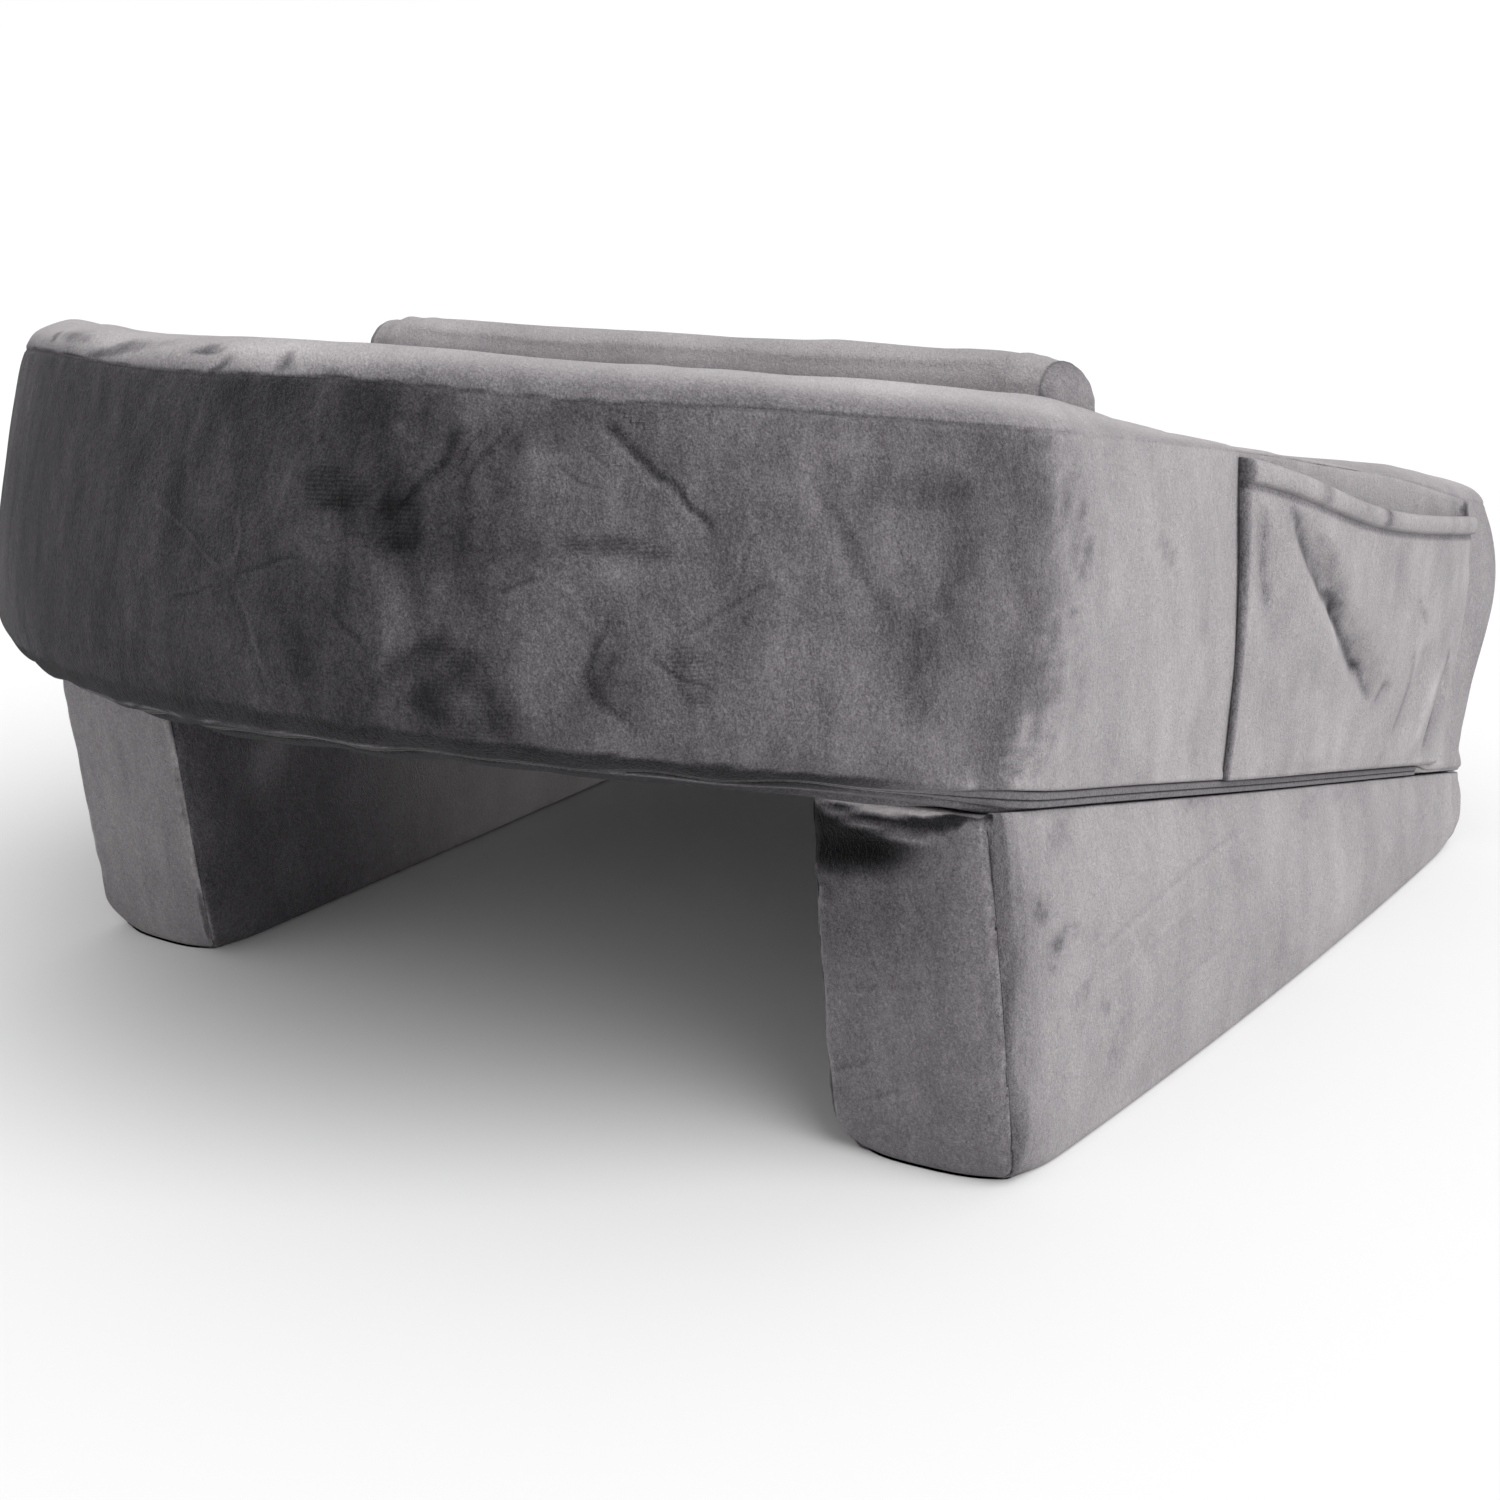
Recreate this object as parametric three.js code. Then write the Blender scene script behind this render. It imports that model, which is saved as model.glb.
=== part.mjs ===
import * as THREE from 'three';

// Desk nap pillow in plush velvet: a thick sloping pad on two wedge legs, with a head roll across
// the top, a patch pocket on the right side and a zip in the lower seam.
// Millimetres. +Z is up, the curved high front faces -Y, +X is the side with the pocket.

const GAP = 0.3;

const PAD = {
  halfWidth: 227,
  frontY: -126,
  backY: 380,
  frontCurve: { x: 217, y: 143, power: 1.25 },
  backRadius: 24,
  seamHeight: 130,
  thickness: 117,
  undersideSlope: 0.259,
  topSlope: 0.236,
  lean: 0.182,
  underside: 3,
  topLevel: 3.5,
  frontShoulder: 8.5,
  backShoulder: 7.5,
  shoulderRound: 16,
  backDroop: 11,
  frontTuck: 9,
  seamTuck: 1.2,
  centreY: 150,
};

const ZIP = {
  channelHeight: 6.6,
  channelDepth: 1.8,
  lip: 0.4,
  width: 5.9,
  thickness: 1.2,
  centreGroove: 0.45,
  sideEndY: 318,
  leftEndY: 12,
};

const LEG = {
  innerX: 158,
  outerX: 226,
  depth: 370,
  frontLean: 8.4,
  sideLean: 1.8,
  sideBulge: 5,
  cornerRadius: 5,
  frontTurn: { left: 0, right: 6 },
};

const ROLL = {
  centreY: 146,
  seamX: 163,
  capBulge: 6,
  halfDepth: 20,
  halfHeight: 17,
  topAboveSeam: 30,
};

const POCKET = {
  bottomRise: 7.6,
  frontY: { bottom: 138, top: 129 },
  backY: { bottom: 331, top: 337 },
  topDrop: { front: 1.5, back: 7, middle: 9.5 },
  gape: 11,
  sheet: 2,
  hem: 1.8,
  hemStart: 0.92,
};

const lerp = THREE.MathUtils.lerp;
const smooth = (low, high, value) => THREE.MathUtils.smoothstep(value, low, high);
const steps = (count, make) => Array.from({ length: count }, (unused, i) => make(i / (count - 1), i));

// A closed solid from a stack of closed rings with equal point counts, capped by a point at each end.
function solidFromRings(rings, startPoint, endPoint) {
  const count = rings[0].length;
  const points = [startPoint, ...rings.flat(), endPoint];
  const last = points.length - 1;
  const at = (ring, i) => 1 + ring * count + (i % count);
  const faces = [];
  for (let i = 0; i < count; i += 1) {
    faces.push(0, at(0, i + 1), at(0, i));
    faces.push(last, at(rings.length - 1, i), at(rings.length - 1, i + 1));
    for (let ring = 0; ring < rings.length - 1; ring += 1) {
      faces.push(at(ring, i), at(ring, i + 1), at(ring + 1, i + 1));
      faces.push(at(ring, i), at(ring + 1, i + 1), at(ring + 1, i));
    }
  }
  return geometryFrom(points, faces);
}

// A closed sheet from its outer and inner grids of points, joined all round their edges.
function solidFromSheet(outer, inner) {
  const columns = outer.length;
  const rows = outer[0].length;
  const points = [...outer.flat(), ...inner.flat()];
  const at = (layer, i, j) => (layer * columns + i) * rows + j;
  const faces = [];
  const quad = (a, b, c, d) => faces.push(a, b, c, a, c, d);
  for (let i = 0; i < columns - 1; i += 1) {
    for (let j = 0; j < rows - 1; j += 1) {
      quad(at(0, i, j), at(0, i + 1, j), at(0, i + 1, j + 1), at(0, i, j + 1));
      quad(at(1, i, j), at(1, i, j + 1), at(1, i + 1, j + 1), at(1, i + 1, j));
    }
    quad(at(0, i, 0), at(1, i, 0), at(1, i + 1, 0), at(0, i + 1, 0));
    quad(at(0, i, rows - 1), at(0, i + 1, rows - 1), at(1, i + 1, rows - 1), at(1, i, rows - 1));
  }
  for (let j = 0; j < rows - 1; j += 1) {
    quad(at(0, 0, j), at(0, 0, j + 1), at(1, 0, j + 1), at(1, 0, j));
    quad(at(0, columns - 1, j), at(1, columns - 1, j), at(1, columns - 1, j + 1), at(0, columns - 1, j + 1));
  }
  return geometryFrom(points, faces);
}

// Indexed geometry whose triangles are turned to face outwards.
function geometryFrom(points, faces) {
  let volume = 0;
  const cross = new THREE.Vector3();
  for (let f = 0; f < faces.length; f += 3) {
    const [a, b, c] = [points[faces[f]], points[faces[f + 1]], points[faces[f + 2]]];
    volume += cross.crossVectors(b, c).dot(a);
  }
  const outward = volume > 0 ? faces : [...faces].reverse();
  const geometry = new THREE.BufferGeometry();
  const flat = points.flatMap((point) => point.toArray());
  geometry.setAttribute('position', new THREE.Float32BufferAttribute(flat, 3));
  geometry.setIndex(outward);
  geometry.computeVertexNormals();
  return geometry;
}

// Half of the pad's plan from the middle of its back edge, round the right side, to the front's tip.
function halfPlan() {
  const { halfWidth, frontY, backY, frontCurve, backRadius } = PAD;
  const cornerX = halfWidth - backRadius;
  const cornerY = backY - backRadius;
  const sideEnd = frontY + frontCurve.y;
  const back = steps(6, (t) => [cornerX * t, backY]).slice(0, -1);
  const corner = steps(6, (t) => {
    const angle = (t * Math.PI) / 2;
    return [cornerX + backRadius * Math.sin(angle), cornerY + backRadius * Math.cos(angle)];
  });
  const side = steps(16, (t) => [halfWidth, lerp(cornerY, sideEnd, t ** 1.5)]).slice(1);
  const front = steps(23, (t) => {
    const angle = (t * Math.PI) / 2;
    return [
      halfWidth - frontCurve.x * (1 - Math.cos(angle) ** frontCurve.power),
      sideEnd - frontCurve.y * Math.sin(angle) ** frontCurve.power,
    ];
  }).slice(1);
  return [...back, ...corner, ...side, ...front, [0, frontY]];
}

// The whole plan as edge points, each with its outward normal.
function padPlan() {
  const half = halfPlan();
  const mirrored = half.slice(1, -1).reverse().map(([x, y]) => [-x, y]);
  const plan = [...half, ...mirrored];
  return plan.map(([x, y], i) => {
    const [beforeX, beforeY] = plan[(i + plan.length - 1) % plan.length];
    const [afterX, afterY] = plan[(i + 1) % plan.length];
    const normal = new THREE.Vector2(beforeY - afterY, afterX - beforeX).normalize();
    return { x, y, nx: normal.x, ny: normal.y };
  });
}

// A point of the pad at a height above the lower seam, moved out along the edge's normal.
function padPoint(edge, rise, out) {
  const part = THREE.MathUtils.clamp(rise / PAD.thickness, 0, 1);
  const y = edge.y + edge.ny * out + PAD.lean * THREE.MathUtils.clamp(rise, 0, PAD.thickness);
  const slope = lerp(PAD.undersideSlope, PAD.topSlope, part);
  const droop = part * PAD.backDroop * smooth(230, 400, y) + seamSag(edge, rise);
  return new THREE.Vector3(edge.x + edge.nx * out, y, PAD.seamHeight - slope * y + rise - droop);
}

// The lower front seam hangs a little left of the middle and is drawn up beside the right leg.
function seamSag(edge, rise) {
  const front = smooth(0.2, 0.6, -edge.ny) * (1 - smooth(5, 60, rise));
  const hang = 4 * Math.exp(-(((edge.x + 5) / 95) ** 2));
  const lift = 2 * Math.exp(-(((edge.x - 185) / 25) ** 2));
  return front * (hang - lift);
}

// How far the side turns under at the lower seam: most along the front, where the zip faces down.
function turnUnder(edge, rise) {
  const front = edge.x < 0 ? 1 - smooth(-20, 30, edge.y) : 1 - smooth(-70, -10, edge.y);
  const near = THREE.MathUtils.clamp(1 - Math.max(rise, 0) / 16, 0, 1);
  return (1 + PAD.frontTuck * front) * near ** 2;
}

// How far the filled side swells at a height: least along the straight sides, most at the back.
function swell(edge, rise) {
  const part = THREE.MathUtils.clamp(rise / PAD.thickness, 0, 1);
  const front = 1 - smooth(-60, 60, edge.y);
  const back = smooth(342, 376, edge.y);
  const amount = 3 + 4 * front + 9 * back;
  return amount * Math.sin(Math.PI * part ** lerp(0.6, 1.6, back)) - turnUnder(edge, rise);
}

// A point of the lower seam's channel: so far up the turned-under face, and so deep into it.
function channelPoint(edge, along, depth) {
  const start = swell(edge, 0);
  const tilt = Math.atan2(swell(edge, 5) - start, 5);
  const rise = along * Math.cos(tilt) + depth * Math.sin(tilt);
  return padPoint(edge, rise, start + along * Math.sin(tilt) - depth * Math.cos(tilt));
}

const hasZip = (edge) => (edge.x > 0 ? edge.y < ZIP.sideEndY : edge.y < ZIP.leftEndY);
const PLAN = padPlan();

function padRings() {
  const { thickness, seamTuck, shoulderRound } = PAD;
  const bandRises = [9, 14, 22, 34, 48, 62, 76, 90, 102, 110, thickness - 1.5];
  const ring = (rise, out) => PLAN.map((edge) => padPoint(edge, rise, out(edge)));
  const depth = (edge) => (hasZip(edge) ? ZIP.channelDepth : seamTuck);
  const channel = [
    PLAN.map((edge) => channelPoint(edge, -ZIP.lip, 0)),
    PLAN.map((edge) => channelPoint(edge, 0, depth(edge))),
    PLAN.map((edge) => channelPoint(edge, ZIP.channelHeight, depth(edge))),
    PLAN.map((edge) => channelPoint(edge, ZIP.channelHeight + ZIP.lip, 0)),
  ];
  const band = bandRises.map((rise) => ring(rise, (edge) => swell(edge, rise)));
  const topSeam = ring(thickness, () => -seamTuck);
  const shoulderHeight = (edge) => (
    lerp(PAD.frontShoulder, PAD.topLevel, smooth(-25, 65, edge.y))
    + (PAD.backShoulder - PAD.topLevel) * smooth(240, 340, edge.y)
  );
  const shoulder = [0.2, 0.4, 0.65, 1].map((t) => {
    const angle = (t * Math.PI) / 2;
    return PLAN.map((edge) => {
      const rise = thickness + shoulderHeight(edge) * Math.sin(angle);
      return padPoint(edge, rise, -shoulderRound * (1 - Math.cos(angle)));
    });
  });
  const top = [0.93, 0.84, 0.72, 0.5, 0.25].map((size) => PLAN.map((edge) => {
    const blend = smooth(0.72, 1, size);
    const rise = thickness + lerp(PAD.topLevel, shoulderHeight(edge), blend);
    return padPoint(towardsCentre(edge, size, shoulderRound), rise, 0);
  }));
  const lowerRound = ring(-PAD.underside * 0.7, (edge) => swell(edge, 0) - 1.2);
  const lowerEdge = ring(-PAD.underside, (edge) => swell(edge, 0) - 3);
  const underside = [0.75, 0.4].map((size) => (
    PLAN.map((edge) => padPoint(towardsCentre(edge, size, 6), -PAD.underside, 0))
  ));
  return [...underside.reverse(), lowerEdge, lowerRound, ...channel, ...band, topSeam, ...shoulder, ...top];
}

// An edge point stepped in along its normal, then drawn towards the pad's centre.
function towardsCentre(edge, size, inset) {
  const x = edge.x - edge.nx * inset;
  const y = edge.y - edge.ny * inset;
  return { x: x * size, y: lerp(PAD.centreY, y, size), nx: 0, ny: 0 };
}

function padGeometry() {
  const centre = { x: 0, y: PAD.centreY, nx: 0, ny: 0 };
  const below = padPoint(centre, -PAD.underside, 0);
  const above = padPoint(centre, PAD.thickness + PAD.topLevel, 0);
  return solidFromRings(padRings(), below, above);
}

// The closed zip: two tapes with a groove where they meet, lying in the channel of the lower seam.
function zipGeometry() {
  const { channelHeight, channelDepth, width, thickness, centreGroove } = ZIP;
  const low = (channelHeight - width) / 2;
  const high = channelHeight - low;
  const middle = channelHeight / 2;
  const back = channelDepth - GAP;
  const face = back - thickness;
  const section = [
    [low, back],
    [high, back],
    [high, face],
    [middle + 0.5, face],
    [middle, face + centreGroove],
    [middle - 0.5, face],
    [low, face],
  ];
  const path = PLAN.filter((edge) => edge.y < 355 && hasZip(edge));
  const rings = path.map((edge) => section.map(([along, depth]) => channelPoint(edge, along, depth)));
  const endPoint = (ring) => ring[0].clone().lerp(ring[3], 0.5);
  return solidFromRings(rings, endPoint(rings[0]), endPoint(rings[rings.length - 1]));
}

// Plan of the right leg: a rounded rectangle whose corners are sewn, each with a small tuck.
function legPlan() {
  const { innerX, outerX, depth, cornerRadius: r } = LEG;
  const corners = [
    { x: outerX - r, y: depth - r, from: 90 },
    { x: outerX - r, y: r, from: 0 },
    { x: innerX + r, y: r, from: -90 },
    { x: innerX + r, y: depth - r, from: -180 },
  ];
  const sides = [12, 4, 12, 4];
  return corners.flatMap((corner, i) => {
    const arc = [0, 45, 90].map((turn) => {
      const angle = THREE.MathUtils.degToRad(corner.from - turn);
      const reach = turn === 45 ? r - 0.5 : r;
      const nx = Math.cos(angle);
      const ny = Math.sin(angle);
      return { x: corner.x + reach * nx, y: corner.y + reach * ny, nx, ny };
    });
    const next = corners[(i + 1) % corners.length];
    const end = arc[2];
    const nextStart = { x: next.x + r * end.nx, y: next.y + r * end.ny };
    const side = steps(sides[i] + 1, (t) => (
      { ...end, x: lerp(end.x, nextStart.x, t), y: lerp(end.y, nextStart.y, t) }
    ));
    return [...arc, ...side.slice(1, -1)];
  });
}

// Height of the pad's underside above a point of the floor, less the gap that the leg keeps.
const legTop = (y) => PAD.seamHeight - PAD.undersideSlope * y - PAD.underside - GAP;

function legGeometry(side, frontTurn) {
  const plan = legPlan();
  const { depth, frontLean, sideLean, sideBulge, innerX, outerX } = LEG;
  const place = (point, inset, heightOf) => {
    const along = point.y / depth;
    const turn = frontTurn * (1 - along) * ((outerX - point.x) / (outerX - innerX));
    const lift = { y: point.y - point.ny * inset };
    for (let pass = 0; pass < 3; pass += 1) {
      lift.z = heightOf(legTop(lift.y));
      lift.y = point.y - point.ny * inset - turn - frontLean * (1 - along) * (lift.z / PAD.seamHeight);
    }
    const belly = sideBulge * 4 * along * (1 - along) * Math.max(0, point.nx);
    const lean = sideLean * (lift.z / PAD.seamHeight) * (point.x / outerX);
    return new THREE.Vector3(side * (point.x - point.nx * inset + belly - lean), lift.y, lift.z);
  };
  const ring = (inset, heightOf) => plan.map((point) => place(point, inset, heightOf));
  const rings = [
    ring(4, () => 0),
    ring(1.2, () => 1),
    ring(0.2, () => 3.5),
    ring(0, () => 9),
    ...[0.25, 0.5, 0.75].map((part) => ring(-1.2, (top) => lerp(9, top - 4, part))),
    ring(0, (top) => top - 4),
    ring(0.5, (top) => top - 1.5),
    ring(2, (top) => top),
  ];
  const middle = (ringPoints) => {
    const sum = ringPoints.reduce((total, point) => total.add(point), new THREE.Vector3());
    return sum.divideScalar(ringPoints.length);
  };
  const foot = middle(rings[0]);
  const head = middle(rings[rings.length - 1]);
  head.z = legTop(head.y);
  return solidFromRings(rings, foot, head);
}

// The head roll: an oval section with its underside flattened on the pad, and sewn bulging ends.
function rollGeometry() {
  const { centreY, seamX, capBulge, halfDepth, halfHeight, topAboveSeam } = ROLL;
  const seat = PAD.topLevel + GAP;
  const middle = topAboveSeam - halfHeight;
  const section = (x, size) => steps(25, (t) => {
    const angle = t * Math.PI * 2;
    const level = Math.max(seat, middle + halfHeight * size * Math.cos(angle));
    return onPadTop(x, centreY + halfDepth * size * Math.sin(angle), level);
  }).slice(0, -1);
  const tuck = (along) => 1 - 0.05 * smooth(0.85, 1, Math.abs(along));
  const body = steps(17, (t) => {
    const along = t * 2 - 1;
    return section(along * (seamX - 1.5), tuck(along));
  });
  const cap = [[0, 0.92], [1.5, 0.94], [4, 0.84], [5.5, 0.6]];
  const rightCap = cap.map(([out, size]) => section(seamX + out, size));
  const leftCap = cap.map(([out, size]) => section(-seamX - out, size)).reverse();
  const tip = (sign) => onPadTop(sign * (seamX + capBulge), centreY, middle);
  return solidFromRings([...leftCap, ...body, ...rightCap], tip(-1), tip(1));
}

// A point at a height above the plane of the top seam.
function onPadTop(x, y, level) {
  return new THREE.Vector3(x, y, PAD.seamHeight + PAD.thickness - PAD.topSlope * y + level);
}

// The pocket: one sheet on the right side, sewn at the front, foot and back, with a gaping hemmed mouth.
function pocketGeometry() {
  const { bottomRise, frontY, backY, topDrop, gape, sheet, hem, hemStart } = POCKET;
  const rows = [0, 0.12, 0.25, 0.38, 0.52, 0.65, 0.76, 0.85, 0.905, hemStart, 0.94, 0.96, 0.98, 1];
  const point = (u, v, layer) => {
    const sag = lerp(topDrop.front, topDrop.back, u) + topDrop.middle * Math.sin(Math.PI * u) ** 1.3;
    const rise = lerp(bottomRise, PAD.thickness - sag, v);
    const y = lerp(lerp(frontY.bottom, backY.bottom, u), lerp(frontY.top, backY.top, u), v);
    const edge = { x: PAD.halfWidth, y, nx: 1, ny: 0 };
    const open = gape * v ** 1.6 * (4 * u * (1 - u)) ** 0.45;
    const fold = v > hemStart ? hem * Math.sin((Math.PI * (v - hemStart)) / (1 - hemStart)) : 0;
    const outer = layer === 0 ? 0 : sheet + fold;
    return padPoint(edge, rise, swell(edge, rise) + GAP + 0.2 + open + outer);
  };
  const grid = (layer) => steps(25, (u) => rows.map((v) => point(u, v, layer)));
  return solidFromSheet(grid(1), grid(0));
}

function piece(name, geometry, color, roughness) {
  const material = new THREE.MeshStandardMaterial({ color, roughness, metalness: 0 });
  const mesh = new THREE.Mesh(geometry, material);
  mesh.name = name;
  return mesh;
}

const VELVET = 0x78757a;
const ZIP_GREY = 0x5e5c63;

const pillow = new THREE.Group();
pillow.add(piece('pad', padGeometry(), VELVET, 0.9));
pillow.add(piece('leg_left', legGeometry(-1, LEG.frontTurn.left), VELVET, 0.9));
pillow.add(piece('leg_right', legGeometry(1, LEG.frontTurn.right), VELVET, 0.9));
pillow.add(piece('head_roll', rollGeometry(), VELVET, 0.9));
pillow.add(piece('side_pocket', pocketGeometry(), VELVET, 0.9));
pillow.add(piece('zip', zipGeometry(), ZIP_GREY, 0.6));

// The origin is the middle of the whole part's box, at the level it rests on.
const middle = new THREE.Box3().setFromObject(pillow).getCenter(new THREE.Vector3());
pillow.position.set(-middle.x, -middle.y, 0);

export default pillow;
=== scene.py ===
"""A desk nap pillow in grey plush velvet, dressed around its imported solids.

Sizes are millimetres in the maker's frame: x across, y back from the legs' front, z up from the table.
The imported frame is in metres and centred, and place() turns one into the other.
"""

import math
from types import SimpleNamespace as Sizes

import bpy
import numpy as np
from mathutils import Matrix, Vector
from mathutils.kdtree import KDTree


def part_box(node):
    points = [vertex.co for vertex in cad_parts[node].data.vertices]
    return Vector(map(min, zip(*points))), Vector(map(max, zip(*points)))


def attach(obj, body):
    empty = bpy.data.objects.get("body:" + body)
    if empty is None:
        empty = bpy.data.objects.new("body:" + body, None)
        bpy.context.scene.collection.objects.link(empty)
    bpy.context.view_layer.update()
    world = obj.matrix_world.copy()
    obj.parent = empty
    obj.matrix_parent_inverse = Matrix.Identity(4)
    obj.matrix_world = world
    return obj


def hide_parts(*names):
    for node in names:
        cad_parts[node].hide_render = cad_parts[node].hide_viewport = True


MM = 0.001
GAP = 0.3

PAD = Sizes(
    half_width=227, front_y=-126, back_y=380, curve_x=217, curve_y=143, curve_power=1.25,
    back_radius=24, seam_height=130, thickness=117, underside_slope=0.259, top_slope=0.236,
    lean=0.182, underside=3, top_level=3.0, front_shoulder=7.6, side_shoulder=1.0, back_shoulder=7.6,
    shoulder_round=16, back_droop=11, front_tuck=9, seam_tuck=0.9, low_corner=16, cap_inset=6,
    columns_across=108, columns_deep=52,
)
ZIP = Sizes(
    channel_height=6.6, channel_depth=1.8, lip=0.4, width=6.2, thickness=1.2, groove=0.5,
    side_end_y=318, left_end_y=12,
)
LEG = Sizes(
    inner_x=158, outer_x=226, depth=370, front_lean=8.4, side_lean=1.8, side_bulge=5,
    corner_radius=5, foot_radius=14, front_turn_right=6, inner_lean_right=5, swell=1.2, collar=3.55,
    columns_across=18, columns_deep=104, crowding=0.78,
)
ROLL = Sizes(
    centre_y=146, seam_x=163, cap_bulge=6.4, half_depth=20, half_height=17, top_above_seam=30,
    columns=72, stations=88,
)
POCKET = Sizes(
    bottom_rise=5.4, front_bottom_y=138, front_top_y=129, back_bottom_y=331, back_top_y=337,
    drop_front=1.5, drop_back=7, drop_middle=9.5, gape=10, sheet=1.8, hem=2.2, hem_start=0.925,
    width=200, shape=0.62, columns=150, rows=84, hem_rows=16,
)
PUFF = Sizes(steps=20, pressure=4)
# The photograph's camera, in degrees and millimetres, and the studio's light.
CAMERA = Sizes(heading=38.03, pitch=17.91, roll=-3.17, eye=(590.7, -591.1, 376.4), lens=58.10, sensor=36)
LIGHT = Sizes(azimuth=80, elevation=46, strength=2.2, spread=50, surround=0.72)
FLOOR = Sizes(half=40, grey=0.86)

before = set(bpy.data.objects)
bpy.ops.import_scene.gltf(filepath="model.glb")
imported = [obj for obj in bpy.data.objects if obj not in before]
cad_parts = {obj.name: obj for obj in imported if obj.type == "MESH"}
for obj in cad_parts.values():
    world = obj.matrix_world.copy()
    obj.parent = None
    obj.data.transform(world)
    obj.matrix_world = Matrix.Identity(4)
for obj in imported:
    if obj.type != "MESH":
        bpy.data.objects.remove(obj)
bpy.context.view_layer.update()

# The maker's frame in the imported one: the pad is even about x = 0, and a leg's back face is at its depth.
pad_low, pad_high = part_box("pad")
SHIFT = np.array([
    (pad_low.x + pad_high.x) / 2 / MM,
    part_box("leg_left")[1].y / MM - LEG.depth - LEG.swell,
    0.0,
])


def place(points):
    """Millimetres in the maker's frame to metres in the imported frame."""
    return (np.asarray(points, float) + SHIFT) * MM


def smooth(low, high, value):
    """A soft step from 0 to 1 as the value goes from low to high."""
    t = np.clip((value - low) / (high - low), 0, 1)
    return t * t * (3 - 2 * t)


def lerp(a, b, t):
    return a + (b - a) * t


def bell(distance, width):
    return np.exp(-((distance / width) ** 2))


def ripple(points, size, seed, waves=14):
    """A soft random field, mostly from -1 to 1, whose bumps are about that many millimetres across."""
    random = np.random.default_rng(seed)
    directions = random.normal(size=(waves, 3))
    directions /= np.linalg.norm(directions, axis=1)[:, None]
    pitch = 2 * math.pi / (size * random.uniform(1.4, 3.0, waves))
    phases = random.uniform(0, 2 * math.pi, waves)
    return np.sin((points @ directions.T) * pitch + phases).sum(1) / math.sqrt(waves)


def off_line(at, line):
    """For points on a flat face: their signed distance from an open line, and how far along it they are."""
    line = np.asarray(line, float)
    steps = np.linalg.norm(np.diff(line, axis=0), axis=1)
    start = np.concatenate([[0], np.cumsum(steps)])
    best = np.full(len(at), np.inf)
    part = np.zeros(len(at))
    for i, step in enumerate(steps):
        direction = (line[i + 1] - line[i]) / step
        offset = at - line[i]
        t = np.clip(offset @ direction, 0, step)
        away = np.linalg.norm(offset - t[:, None] * direction, axis=1)
        side = np.sign(offset[:, 1] * direction[0] - offset[:, 0] * direction[1])
        nearer = away < np.abs(best)
        best = np.where(nearer, away * side, best)
        part = np.where(nearer, (start[i] + t) / start[-1], part)
    return best, part


def fold(at, line, width, fade_start=0.2, fade_end=0.2):
    """The height, from 0 to 1, of a soft ridge along a line, which fades towards the line's ends."""
    away, part = off_line(at, line)
    return bell(away, width) * smooth(0, fade_start, part) * (1 - smooth(1 - fade_end, 1, part))


def folded(at, table, fade_start=0.2, fade_end=0.2, narrower=1):
    """The height of a table of folds: the line, half width and height of each."""
    return sum(
        height * fold(at, line, width * narrower, fade_start, fade_end) for line, width, height in table
    )


def mark(at, centre, half, turn=0, edge=0.35):
    """A round or oval patch on a flat face, from 0 to 1, turned by that many degrees, with a soft edge."""
    angle = math.radians(turn)
    dx, dy = (at - np.asarray(centre)).T
    along = (dx * math.cos(angle) + dy * math.sin(angle)) / half[0]
    across = (-dx * math.sin(angle) + dy * math.cos(angle)) / half[1]
    return 1 - smooth(0.9 - edge, 0.9 + edge, np.hypot(along, across))


def marked(at, table, edge=0.35):
    """What a table of patches adds: the centre, half sizes, turn and amount of each."""
    return sum(
        amount * mark(at, (x, y), (half_x, half_y), turn, edge)
        for x, y, half_x, half_y, turn, amount in table
    )


def resample(points, count, crowding=0.0):
    """That many points along an open line, without its last one, evenly spaced or crowded at its ends."""
    steps = np.linalg.norm(np.diff(points, axis=0), axis=1)
    along = np.concatenate([[0], np.cumsum(steps)])
    t = np.linspace(0, 1, count + 1)[:-1]
    at = along[-1] * (t - crowding * np.sin(2 * math.pi * t) / (2 * math.pi))
    return np.stack([np.interp(at, along, points[:, k]) for k in range(points.shape[1])], axis=1)


def with_normals(points):
    """The points of a closed plan, each with its outward normal, as named arrays."""
    tangent = np.roll(points, -1, axis=0) - np.roll(points, 1, axis=0)
    tangent /= np.linalg.norm(tangent, axis=1)[:, None]
    return Sizes(x=points[:, 0], y=points[:, 1], nx=tangent[:, 1], ny=-tangent[:, 0])


def coons(ring, across, deep):
    """A grid of points inside a closed ring that starts at its front left corner and runs by the right."""
    front = ring[: across + 1]
    right = ring[across : across + deep + 1]
    back = ring[across + deep : 2 * across + deep + 1][::-1]
    left = np.concatenate([ring[2 * across + deep :], ring[:1]])[::-1]
    u = np.linspace(0, 1, across + 1)[:, None, None]
    v = np.linspace(0, 1, deep + 1)[None, :, None]
    ruled = (1 - v) * front[:, None] + v * back[:, None] + (1 - u) * left[None] + u * right[None]
    corners = (1 - u) * ((1 - v) * front[0] + v * back[0]) + u * ((1 - v) * front[-1] + v * back[-1])
    return ruled - corners


def wall_faces(rings, count):
    """The quads between stacked rings of that many points each."""
    return [
        (r * count + i, r * count + (i + 1) % count, (r + 1) * count + (i + 1) % count, (r + 1) * count + i)
        for r in range(rings - 1)
        for i in range(count)
    ]


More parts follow.
